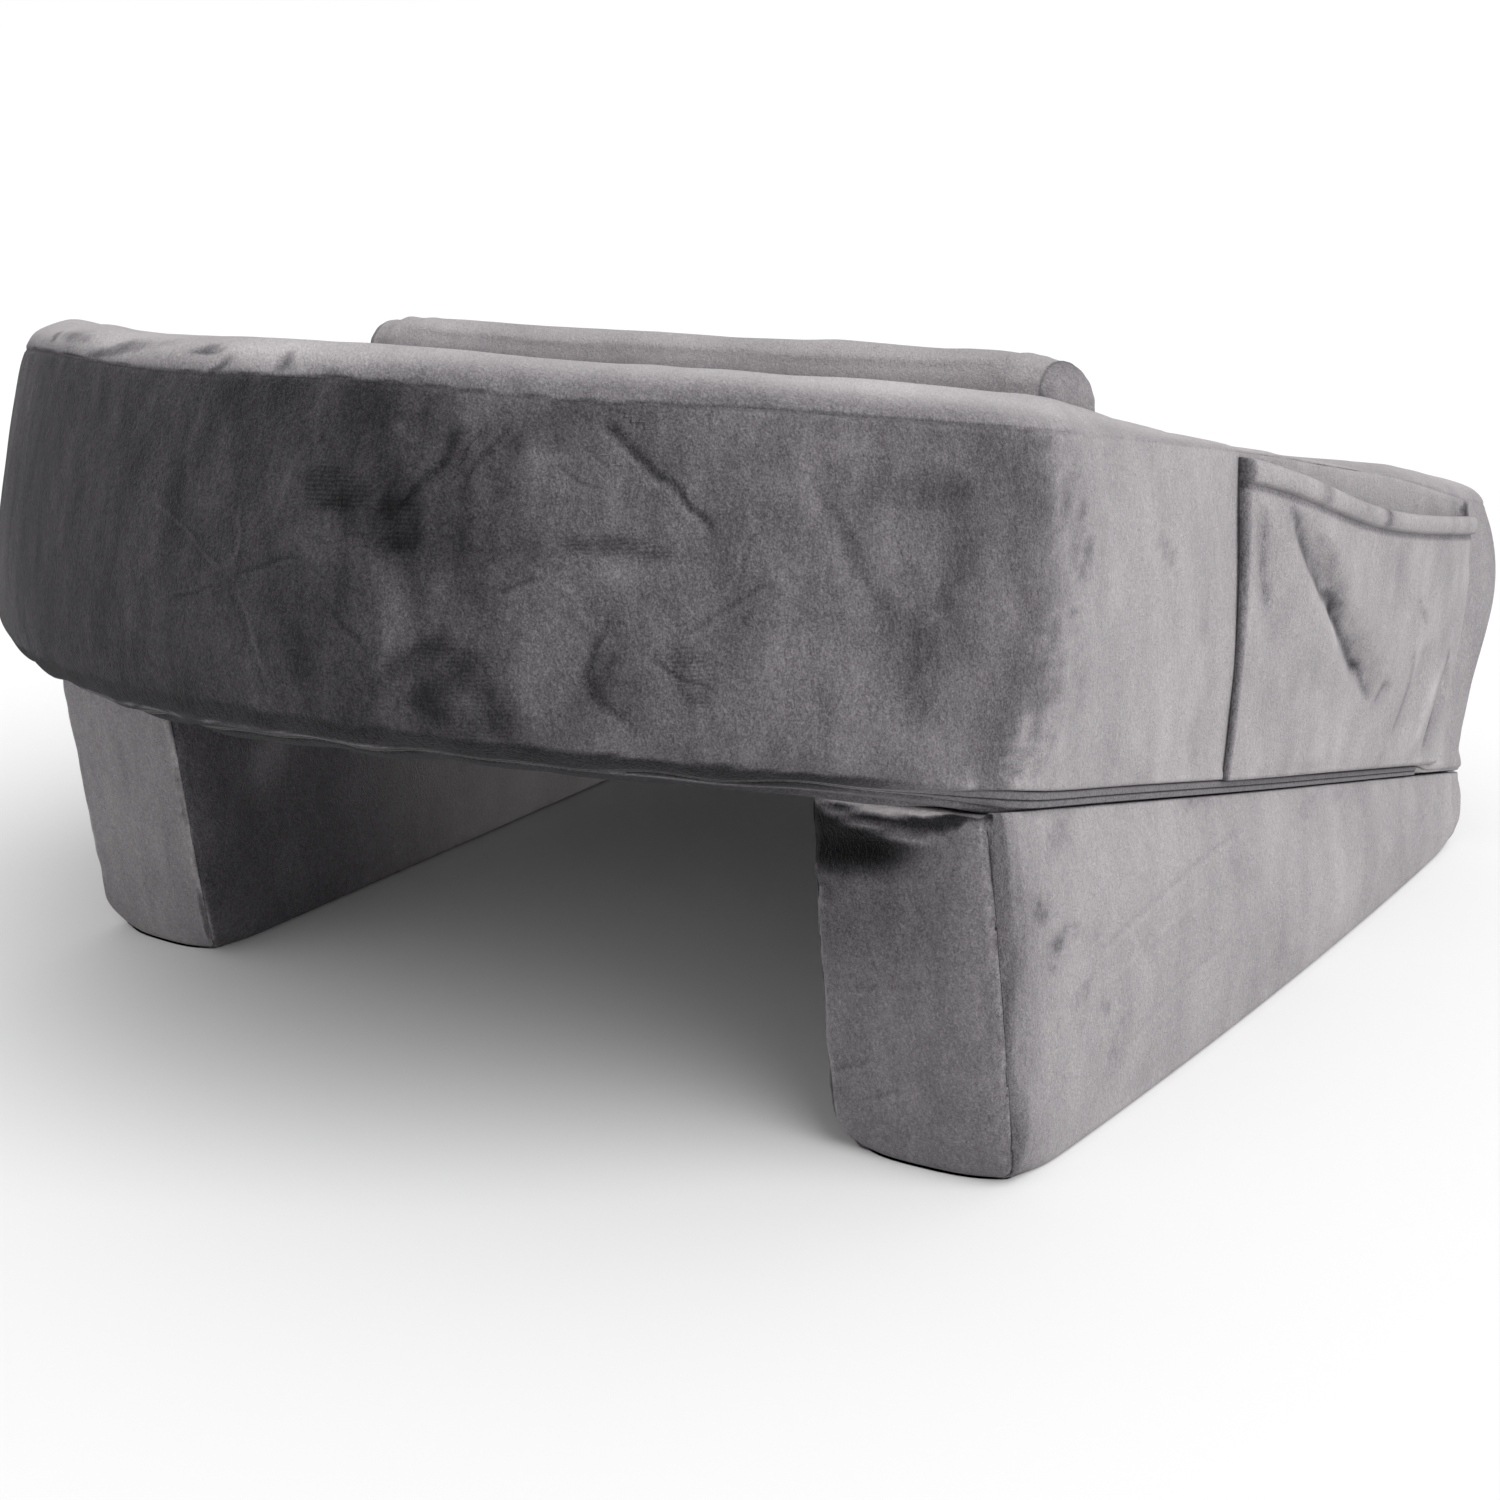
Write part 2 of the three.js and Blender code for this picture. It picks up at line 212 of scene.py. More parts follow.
def capped_mesh(name, rows, bottom, top):
    """A closed object from stacked rings, lowest first, and the grids that fill the lowest and highest ring.

    Gives it with the ring of each vertex, or -1 in the bottom grid and -2 in the top one."""
    count = len(rows[0])
    points = [np.concatenate(rows)]
    ring_of = [np.repeat(np.arange(len(rows)), count)]
    faces = wall_faces(len(rows), count)
    start = len(rows) * count
    for grid, ring, label in ((bottom, 0, -1), (top, len(rows) - 1, -2)):
        across, deep = grid.shape[0] - 1, grid.shape[1] - 1
        base = ring * count
        inner = (across - 1) * (deep - 1)
        index = np.zeros((across + 1, deep + 1), int)
        index[:, 0] = base + np.arange(across + 1)
        index[-1, :] = base + across + np.arange(deep + 1)
        index[::-1, -1] = base + across + deep + np.arange(across + 1)
        index[0, 1:] = base + (2 * across + 2 * deep - np.arange(1, deep + 1)) % count
        index[1:-1, 1:-1] = start + np.arange(inner).reshape(across - 1, deep - 1)
        quads = np.stack([index[:-1, :-1], index[1:, :-1], index[1:, 1:], index[:-1, 1:]], axis=-1)
        quads = quads.reshape(-1, 4)
        faces += (quads if label == -2 else quads[:, ::-1]).tolist()
        points.append(grid[1:-1, 1:-1].reshape(-1, 3))
        ring_of.append(np.full(inner, label))
        start += inner
    return new_object(name, np.concatenate(points), faces), np.concatenate(ring_of)


def link(name, data):
    """A new object in the scene."""
    made = bpy.data.objects.new(name, data)
    bpy.context.scene.collection.objects.link(made)
    return made


def new_object(name, points, faces):
    mesh = bpy.data.meshes.new(name)
    mesh.from_pydata(place(points).tolist(), [], [tuple(face) for face in faces])
    mesh.shade_smooth()
    return link(name, mesh)


def read(piece, value):
    """A vector of each vertex, such as co or normal."""
    flat = np.zeros(len(piece.data.vertices) * 3, np.float32)
    piece.data.vertices.foreach_get(value, flat)
    return flat.reshape(-1, 3).astype(float)


def points_of(piece):
    """The piece's points in millimetres in the maker's frame."""
    return read(piece, "co") / MM - SHIFT


def set_points(piece, points):
    piece.data.vertices.foreach_set("co", place(points).astype(np.float32).ravel())
    piece.data.update()


def push(piece, distance):
    """Moves each point along its own normal, by millimetres."""
    normals = read(piece, "normal")
    set_points(piece, points_of(piece) + normals * distance[:, None])


def set_pile(piece, tone, ribs=0.0, lines=()):
    """Stores the look of the pile at each point of a piece.

    The tone is the grey of the pile, from 0, dark, to 1, light: its lie, with painted light and shade.
    The ribs are how far the knitted ground shows. A line is a crease or a seam: the signed distance from it
    in units of its width, its distance in millimetres and its strength, by which the material darkens or
    lightens
    the grey along it: painted shade and highlights in creases. A point keeps the nearest line."""
    count = len(piece.data.vertices)
    away = np.full(count, 50.0)
    nearest = np.full(count, 50.0)
    strength = np.zeros(count)
    for distance, width, amount in lines:
        nearer = (np.abs(distance) < nearest) & (np.abs(amount) > 0.001)
        away = np.where(nearer, distance / width, away)
        strength = np.where(nearer, amount * (1 - smooth(5, 9, np.abs(distance))), strength)
        nearest = np.where(nearer, np.abs(distance), nearest)
    for name, columns in (("pile", (tone, ribs, 0.0)), ("crease", (away, strength, 0.0))):
        values = np.stack([np.broadcast_to(column, count) for column in columns], axis=1)
        attribute = piece.data.attributes.new(name, "FLOAT_VECTOR", "POINT")
        attribute.data.foreach_set("vector", values.astype(np.float32).ravel())


def drawn(at, table, shown):
    """A table of creases as set_pile takes it: each line fades at its ends and where it isn't shown."""
    lines = []
    for line, width, amount in table:
        distance, part = off_line(at, line)
        ends = smooth(0, 0.15, part) * (1 - smooth(0.8, 1, part))
        lines.append((distance, width, amount * ends * shown))
    return lines


def apply_modifiers(piece):
    bpy.context.view_layer.objects.active = piece
    for modifier in list(piece.modifiers):
        bpy.ops.object.modifier_apply(modifier=modifier.name)


def subdivide(piece):
    piece.modifiers.new("finer", "SUBSURF").levels = 1
    apply_modifiers(piece)


def puff(piece, sewn, cap, spare):
    """Lets a cover swell between its sewn points, which stay. No point moves more than the cap.

    The spare is how much larger the cover is cut than its shape, as a share."""
    group = piece.vertex_groups.new(name="sewn")
    group.add(np.flatnonzero(sewn).tolist(), 1.0, "REPLACE")
    before = points_of(piece)
    settings = piece.modifiers.new("filling", "CLOTH").settings
    settings.use_pressure = True
    settings.uniform_pressure_force = PUFF.pressure
    settings.vertex_group_mass = group.name
    settings.effector_weights.gravity = 0
    settings.shrink_min = -spare
    for step in range(1, PUFF.steps + 1):
        bpy.context.scene.frame_set(step)
    apply_modifiers(piece)
    moved = points_of(piece) - before
    length = np.linalg.norm(moved, axis=1)
    kept = cap * np.tanh(length / cap) / np.maximum(length, 1e-6)
    set_points(piece, before + moved * kept[:, None])
    piece.vertex_groups.clear()
    bpy.context.scene.frame_set(0)


def tree_of(points):
    tree = KDTree(len(points))
    for i, point in enumerate(points):
        tree.insert(point, i)
    tree.balance()
    return tree


def distance_to(points, line):
    """How far each point is from a line that is given by close points."""
    tree = tree_of(line)
    return np.array([tree.find(point)[2] for point in points])


# The pad: its plan, the shape of its side, its rings and its finish


def pad_plan():
    """The pad's outline from the front left corner by the front, right, back and left, as a closed plan."""
    p = PAD
    side_end = p.front_y + p.curve_y
    turn = np.radians(np.linspace(90, 0, 241))
    front_x = p.half_width - p.curve_x * (1 - np.cos(turn) ** p.curve_power)
    front_y = side_end - p.curve_y * np.sin(turn) ** p.curve_power
    corner = np.radians(np.linspace(0, 90, 61))
    corner_x = p.half_width - p.back_radius + p.back_radius * np.cos(corner)
    corner_y = p.back_y - p.back_radius + p.back_radius * np.sin(corner)
    split = int(np.argmin(np.abs(turn - math.radians(30))))
    front_half = np.stack([np.append(0, front_x[: split + 1]),
                           np.append(p.front_y, front_y[: split + 1])], axis=1)
    right = np.stack([np.concatenate([front_x[split:], corner_x[:31]]),
                      np.concatenate([front_y[split:], corner_y[:31]])], axis=1)
    back_half = np.stack([np.append(corner_x[30:], 0), np.append(corner_y[30:], p.back_y)], axis=1)
    mirror = np.array([-1, 1])
    front = np.concatenate([(front_half * mirror)[::-1], front_half[1:]])
    back = np.concatenate([back_half, (back_half * mirror)[::-1][1:]])
    left = (right * mirror)[::-1]
    across, deep = p.columns_across, p.columns_deep
    sides = [(front, across), (right, deep), (back, across), (left, deep)]
    return with_normals(np.concatenate([resample(line, count) for line, count in sides]))


def seam_sag(plan, rise):
    """The lower front seam hangs a little left of the middle and is drawn up beside the right leg."""
    front = smooth(0.2, 0.6, -plan.ny) * (1 - smooth(5, 60, rise))
    waves = 0.5 * np.sin(plan.x / 8.5) + 0.5 * np.sin(plan.x / 5.2 + 1)
    return front * (4 * bell(plan.x + 5, 95) - 2 * bell(plan.x - 185, 25) + waves)


def seam_dip(x, y):
    """How far the upper front seam hangs below the straight line between its ends."""
    front = 1 - smooth(-35, 10, y)
    side = 1.9 * smooth(150, 200, x) * bell(y - 218, 42)
    return front * (0.7 + 4.4 * bell(x + 8, 70) + 2.9 * bell(x - 118, 45)) + side


def side_sink(x, y, rise):
    """The lower seam dips a little along the right side, most at the back."""
    along = smooth(-20, 20, y) + 1.1 * smooth(20, 200, y)
    return smooth(150, 200, x) * along * smooth(-2.9, -1.2, rise) * (1 - smooth(4, 40, rise))


def pad_point(plan, rise, out):
    """Points at a height above the lower seam, moved out along the plan's normals."""
    part = np.clip(rise / PAD.thickness, 0, 1)
    y = plan.y + plan.ny * out + PAD.lean * np.clip(rise, 0, PAD.thickness)
    slope = lerp(PAD.underside_slope, PAD.top_slope, part)
    droop = part * PAD.back_droop * smooth(230, 400, y) + seam_sag(plan, rise) + side_sink(plan.x, y, rise)
    droop = droop + part ** 2 * seam_dip(plan.x, plan.y)
    z = PAD.seam_height - slope * y + rise - droop
    return np.stack([plan.x + plan.nx * out, y, z], axis=-1)


def rise_of(points):
    """About how far each point is above the lower seam, where the upper seam is at the pad's thickness."""
    rise = np.full(len(points), PAD.thickness / 2)
    for _ in range(4):
        part = np.clip(rise / PAD.thickness, 0, 1)
        slope = lerp(PAD.underside_slope, PAD.top_slope, part)
        droop = part * PAD.back_droop * smooth(230, 400, points[:, 1])
        droop += part ** 2 * seam_dip(points[:, 0], points[:, 1] - PAD.lean * PAD.thickness * part)
        droop += side_sink(points[:, 0], points[:, 1], rise)
        rise = points[:, 2] - PAD.seam_height + slope * points[:, 1] + droop
    return rise


def turn_under(plan, rise):
    """How far the side turns under at the lower seam: most along the front, where the zip faces down."""
    front = np.where(plan.x < 0, 1 - smooth(-20, 30, plan.y), 1 - smooth(-40, 4, plan.y))
    near = np.clip(1 - np.maximum(rise, 0) / 7, 0, 1)
    return (0.3 + (PAD.front_tuck + 0.7) * front) * near ** 2


def swell(plan, rise):
    """How far the filled side stands out at a height: least along the straight sides, most at the back."""
    part = np.clip(rise / PAD.thickness, 0, 1)
    front = 1 - smooth(-60, 60, plan.y)
    back = smooth(342, 376, plan.y)
    amount = 3 + 4 * front + 6.5 * back
    power = lerp(lerp(0.95, 0.6, front), 2.2, back)
    square = (PAD.back_radius - PAD.low_corner) * np.maximum(0, np.abs(plan.nx) + plan.ny - 1)
    square = square * (1 - smooth(0, 12, rise))
    return amount * np.sin(np.pi * part ** power) + square - turn_under(plan, rise)


def channel_point(plan, along, depth):
    """Points of the lower seam's channel: so far up the turned-under face, and so deep into it."""
    start = swell(plan, 0)
    tilt = np.arctan2(swell(plan, 2) - start, 2)
    rise = along * np.cos(tilt) + depth * np.sin(tilt)
    return pad_point(plan, rise, start + along * np.sin(tilt) - depth * np.cos(tilt))


def plain_seam(plan):
    """Where the lower seam is a plain one, without the zip: 0 to 1."""
    return np.where(plan.x > 0, smooth(0, 8, plan.y - ZIP.side_end_y), smooth(0, 10, plan.y - ZIP.left_end_y))


def channel_height(plan):
    """The channel is widest along the front, and narrows along the right side."""
    narrowing = 1.3 * smooth(-10, 40, plan.y) + 1.2 * smooth(40, 300, plan.y)
    return lerp(ZIP.channel_height - np.where(plan.x > 0, narrowing, 0), 1.5, plain_seam(plan))


def shoulder_height(plan):
    """How far the top's rounded rim climbs from the upper seam to its crest."""
    p = PAD
    front = p.front_shoulder + 2.3 * smooth(-30, 60, plan.x) + 2.6 * smooth(-45, -105, plan.x)
    front = front + 1.2 * smooth(-130, -165, plan.x)
    back = np.where(plan.x > 0, smooth(18, 150, plan.y), smooth(-5, 120, plan.y))
    rise = lerp(front, p.side_shoulder, back) + 1.2 * bell(plan.y - 125, 35) * (plan.x > 0)
    rise = rise + (p.back_shoulder - p.side_shoulder) * smooth(220, 320, plan.y)
    return rise + seam_dip(plan.x, plan.y) * (plan.y < 60)


PLAN = pad_plan()


def pad_rows():
    """The pad's rings from its underside to the start of its top, and the numbers of the sewn ones."""
    p = PAD
    depth = lerp(ZIP.channel_depth, 0.7, plain_seam(PLAN))
    high = channel_height(PLAN)
    behind_leg = 3.4 * smooth(0.75, 0.95, np.abs(PLAN.nx)) * smooth(-5, 12, PLAN.y)
    start = swell(PLAN, 0) - behind_leg
    flat = smooth(-1, -4, swell(PLAN, 0))
    rows = [
        pad_point(PLAN, -p.underside, start - lerp(p.cap_inset, 10, flat)),
        pad_point(PLAN, lerp(-p.underside, -2.3, flat), start - lerp(3, 6, flat)),
        pad_point(PLAN, lerp(-2.55, -1.2, flat), start - lerp(1.2, 2.6, flat)),
        channel_point(PLAN, -ZIP.lip, behind_leg),
        channel_point(PLAN, 0, np.maximum(depth * 0.8, behind_leg)),
        channel_point(PLAN, 0.4, depth),
        channel_point(PLAN, high - 0.4, depth),
        channel_point(PLAN, high, depth * 0.8),
        channel_point(PLAN, high + ZIP.lip, 0.1),
        channel_point(PLAN, high + 1.4, -0.5),
    ]
    sewn = set(range(len(rows)))
    lip = rows[-1]
    first = pad_point(PLAN, 10.5, swell(PLAN, 10.5))
    bulge = 1.3 * np.stack([PLAN.nx, PLAN.ny, -0.6 * np.ones_like(PLAN.nx)], axis=1)
    bulge *= flat[:, None]
    rows += [lerp(lip, first, part) + bulge * math.sin(math.pi * part) for part in (0.3, 0.62)]
    band = [10.5, 14, 18.5, 24, *np.linspace(29.5, 101, 14), 106.5, 110.5, 113.5, 115.6, 116.5]
    rows += [pad_point(PLAN, rise, swell(PLAN, rise)) for rise in band]
    sewn |= {len(rows) - 1, len(rows), len(rows) + 1}
    rows.append(pad_point(PLAN, p.thickness, -lerp(p.seam_tuck, 0.45, smooth(-20, 60, PLAN.y))))
    for part in (0.07, 0.2, 0.36, 0.54, 0.76, 1.0):
        angle = part * math.pi / 2
        rise = p.thickness + shoulder_height(PLAN) * math.sin(angle)
        rows.append(pad_point(PLAN, rise, -p.shoulder_round * (1 - math.cos(angle))))
    return rows, sewn


def pad_cap(ring, level_inside, slope):
    """The grid inside a ring: spread evenly in plan, and blending to a level above a sloping plane."""
    grid = coons(ring, PAD.columns_across, PAD.columns_deep)
    flat = grid.reshape(-1, 3)
    away = distance_to(flat * [1, 1, 0], ring * [1, 1, 0])
    plane = PAD.seam_height - slope * flat[:, 1]
    flat[:, 2] = plane + lerp(flat[:, 2] - plane, level_inside(flat[:, 1]), smooth(0, 55, away))
    return flat.reshape(grid.shape)


# Soft creases pressed into the front of the pad: line in x and rise, half width, depth.
FRONT_CREASES = [
    ([(136, 111), (145, 101), (153, 92), (160, 85), (168, 77)], 4.5, 0.7),
    ([(-6, 66), (10, 58), (26, 49)], 5, 0.7),
    ([(26, 49), (34, 40), (43, 24)], 5, 0.7),
    ([(26, 49), (40, 54), (56, 60)], 5, 0.5),
    ([(62, 60), (76, 70), (84, 82), (88, 96)], 6, 0.8),
    ([(98, 104), (93, 92), (80, 80)], 5, 0.6),
    ([(122, 30), (136, 36), (152, 39), (166, 35)], 4, 0.5),
    ([(90, 62), (110, 70), (132, 73), (150, 72)], 5, 0.6),
    ([(187, 92), (197, 78), (203, 60), (206, 44)], 6, 0.8),
    ([(212, 104), (216, 84), (218, 66)], 5, 0.6),
    ([(148, 55), (164, 62), (182, 66)], 5, 0.5),
]
# Fine creases of the pad's front, painted as shade and highlights along them: line in x and rise, half
# width, tone added.
FRONT_LINES = [
    ([(133, 114), (143, 103), (153, 92.5), (160, 85), (168, 76)], 1.2, -0.13),
    ([(26, 50), (16, 58), (2, 68), (-8, 72)], 0.8, 0.05),
    ([(27, 50), (30, 62), (31, 76)], 0.8, 0.05),
    ([(28, 48), (36, 36), (42, 22), (43, 14)], 0.9, 0.05),
    ([(29, 49), (44, 55), (58, 60)], 0.8, -0.05),
    ([(24, 47), (14, 42), (4, 40)], 0.8, -0.05),
    ([(99, 108), (94, 96), (87, 84), (80, 72)], 1.4, -0.06),
    ([(112, 108), (104, 96), (101, 86)], 1.2, -0.05),
    ([(124, 97), (132, 91), (140, 89)], 0.8, -0.05),
    ([(113, 53), (119, 58), (126, 61), (133, 62)], 0.8, -0.06),
    ([(118, 66), (128, 60), (136, 52), (141, 44)], 1.0, 0.045),
    ([(144, 50), (139, 42), (138, 32), (142, 23), (151, 18)], 1.6, -0.07),
    ([(152, 40), (159, 35), (171, 30)], 0.8, -0.07),
    ([(159, 44), (169, 55), (181, 66)], 1.0, -0.045),
    ([(171, 88), (177, 76), (181, 64)], 1.0, 0.03),
    ([(186, 96), (194, 82), (201, 66), (209, 50)], 1.8, -0.06),
    ([(64, 44), (72, 36), (78, 26)], 1.2, -0.04),
    ([(52, 98), (46, 84), (44, 70)], 1.4, 0.035),
    ([(10, 104), (6, 90), (8, 76)], 1.6, 0.04),
]
# Small hollows of the top strip: x, height over the seam, half length, half height, turn, depth.
STRIP_DIMPLES = [
    (4, 7.5, 7, 1.8, 0, 1.4), (14, 3, 6, 3, 0, 0.9), (36, 4.5, 3.5, 4.5, 0, 1.0),
    (-42, 6, 12, 3, 0, 0.8), (80, 5, 2.5, 4, 0, 0.5), (126, 5, 3, 4, 0, 0.4), (152, 5, 3, 4, 0, 0.4),
]
# Brushed patches on the pad's front: x, rise, half width, half height, turn, tone added.
FRONT_MARKS = [
    (62, 82, 11, 7, -10, -0.07), (70, 74, 9, 5, -30, -0.06), (83, 73, 8, 11, 30, -0.09),
    (99, 22, 22, 15, -8, -0.085), (146, 27, 11, 12, 0, -0.05), (163, 34, 6, 9, 30, -0.06),
    (143, 72, 13, 4.5, -6, -0.085), (157, 71, 7, 3.5, -4, -0.05), (98, 98, 6, 14, 20, -0.05),
    (114, 106, 6, 9, 0, -0.04), (76, 108, 10, 7, 0, -0.04), (112, 50, 22, 12, 20, 0.03),
    (90, 92, 6, 10, 30, 0.035), (125, 94, 14, 7, 0, 0.03), (58, 64, 14, 7, 0, 0.03),
    (-2, 50, 4, 34, 4, 0.02), (-14, 66, 3, 30, 0, -0.02), (46, 26, 3, 16, 10, 0.03),
    (182, 74, 12, 26, 15, 0.02), (206, 46, 5, 24, 12, -0.04), (193, 97, 10, 9, -30, -0.04),
    (209, 100, 6, 6, 0, -0.06), (217, 60, 3, 22, 6, -0.04),
]
# Where the knitted ground shows: x, rise, half width, half height, turn, how much.
FRONT_RIBS = [
    (62, 82, 12, 8, -10, 1.0), (83, 73, 9, 12, 30, 0.7), (99, 22, 24, 17, -8, 0.6),
    (143, 72, 14, 5, -6, 0.8), (163, 34, 7, 9, 30, 0.8),
]
# Brushed smudges of the top strip: x, height over the seam, half length, half height, turn, tone added.
STRIP_MARKS = [
    (-100, 5.5, 6, 2.4, 0, -0.16), (-78, 6.5, 15, 2, 0, -0.15), (-44, 5, 17, 2.4, 12, -0.17),
    (-22, 8, 9, 1.4, 8, -0.08), (4, 7.5, 6, 1.5, 4, -0.26), (13, 3, 6, 2.6, 30, -0.17),
    (22, 0.8, 7, 0.9, 0, -0.1), (36, 4.5, 3, 4, 20, -0.18), (58, 1.8, 3, 1.8, 0, -0.12),
    (80, 2.5, 2, 3, 0, -0.08),
]
# Brushed flecks on the right side of the pad and leg: y, z, half length, half height, turn, tone added.
SIDE_MARKS = [
    (17, 91, 5, 5, 30, -0.15), (24, 75, 5, 7, 50, -0.15), (33, 79, 7, 4, -20, -0.08),
    (44, 72, 5, 4, -20, -0.07), (38, 54, 4, 9, -30, -0.10), (52, 46, 3, 4, 0, -0.13),
    (60, 30, 5, 12, -30, -0.06), (30, 112, 12, 7, 0, -0.07), (97, 44, 2, 4, -20, -0.13),
    (78, 60, 14, 6, 0, -0.04), (130, 94, 18, 4, -10, -0.07), (212, 64, 12, 4, -6, -0.07),
    (240, 60, 4, 3, -6, -0.06), (150, 60, 20, 8, -20, -0.03), (92, 190, 3, 12, 30, -0.06),
    (116, 120, 6, 14, 10, -0.03), (120, 160, 3, 9, -10, -0.04), (60, 130, 4, 10, 20, -0.03),
    # The last is painted shade by the back end of the pocket's mouth.
    (357, 151.5, 4, 3.5, 0, -0.42),
]

# The grey of the pile in each place: its lie, with painted light and shade. The right sides and the top are
# painted light; the fronts, the zip's channel, the underside's front and the left leg's inside are painted
# shade, the inside lighter towards its back; the rim, the leg's shelf and the far left of the front carry a
# painted highlight.
TONE = Sizes(
    hidden=0.52, front=0.375, front_left=0.21, front_far_left=0.28, side=0.635, side_back=0.67,
    top=0.63, strip=0.46, rim=0.72, channel=0.14, under_front=0.15, under=0.46,
    leg=0.5, leg_front_left=0.55, leg_front_right=0.46, leg_corner=0.37, leg_side=0.64,
    leg_inside=0.36, leg_inside_lit=0.95, leg_shelf=0.74, roll=0.68, roll_cap=0.54,
    pocket=0.66, pocket_back=0.5, tape=0.405,
)


def stray(points, size, seed):
    """Two soft random fields, which bend what is drawn on a face."""
    return np.stack([ripple(points, size, seed), ripple(points, size, seed + 1)], axis=1)


def fine_plan():
    """The pad's plan with points about 1 mm apart."""
    outline = np.stack([PLAN.x, PLAN.y], axis=1)
    return with_normals(resample(np.concatenate([outline, outline[:1]]), 6 * len(outline)))


def finish_pad(pad):
    """Puckers at the seams, the pressed creases and the small hollows of the stuffing."""
    points = points_of(pad)
    x, y = points[:, :2].T
    rise = rise_of(points)
    over = rise - PAD.thickness
    facing_front = smooth(0.15, 0.5, -read(pad, "normal")[:, 1])
    on_band = smooth(8, 14, rise) * (1 - smooth(114, 117, rise))
    moved = -0.75 * folded(np.stack([x, rise], axis=1), FRONT_CREASES) * facing_front * on_band
    on_strip = smooth(0, 1.5, over) * smooth(0, 20, -y)
    moved -= marked(np.stack([x, over], axis=1), STRIP_DIMPLES) * on_strip
    seam = distance_to(points, pad_point(fine_plan(), PAD.thickness, -PAD.seam_tuck))
    pucker = ripple(points * [1, 1, 0.15], 7, 5)
    moved += 0.32 * pucker * bell(seam - 4, 5) * smooth(0.4, 2.2, seam)
    near_zip = bell(rise - 11, 5) * smooth(7.2, 9, rise)
    moved += 0.28 * ripple(points * [1, 1, 0.1], 5, 6) * near_zip
    above = smooth(7.5, 16, rise)
    moved += above * (0.55 * ripple(points, 45, 7) + 0.22 * ripple(points, 18, 8))
    push(pad, moved)


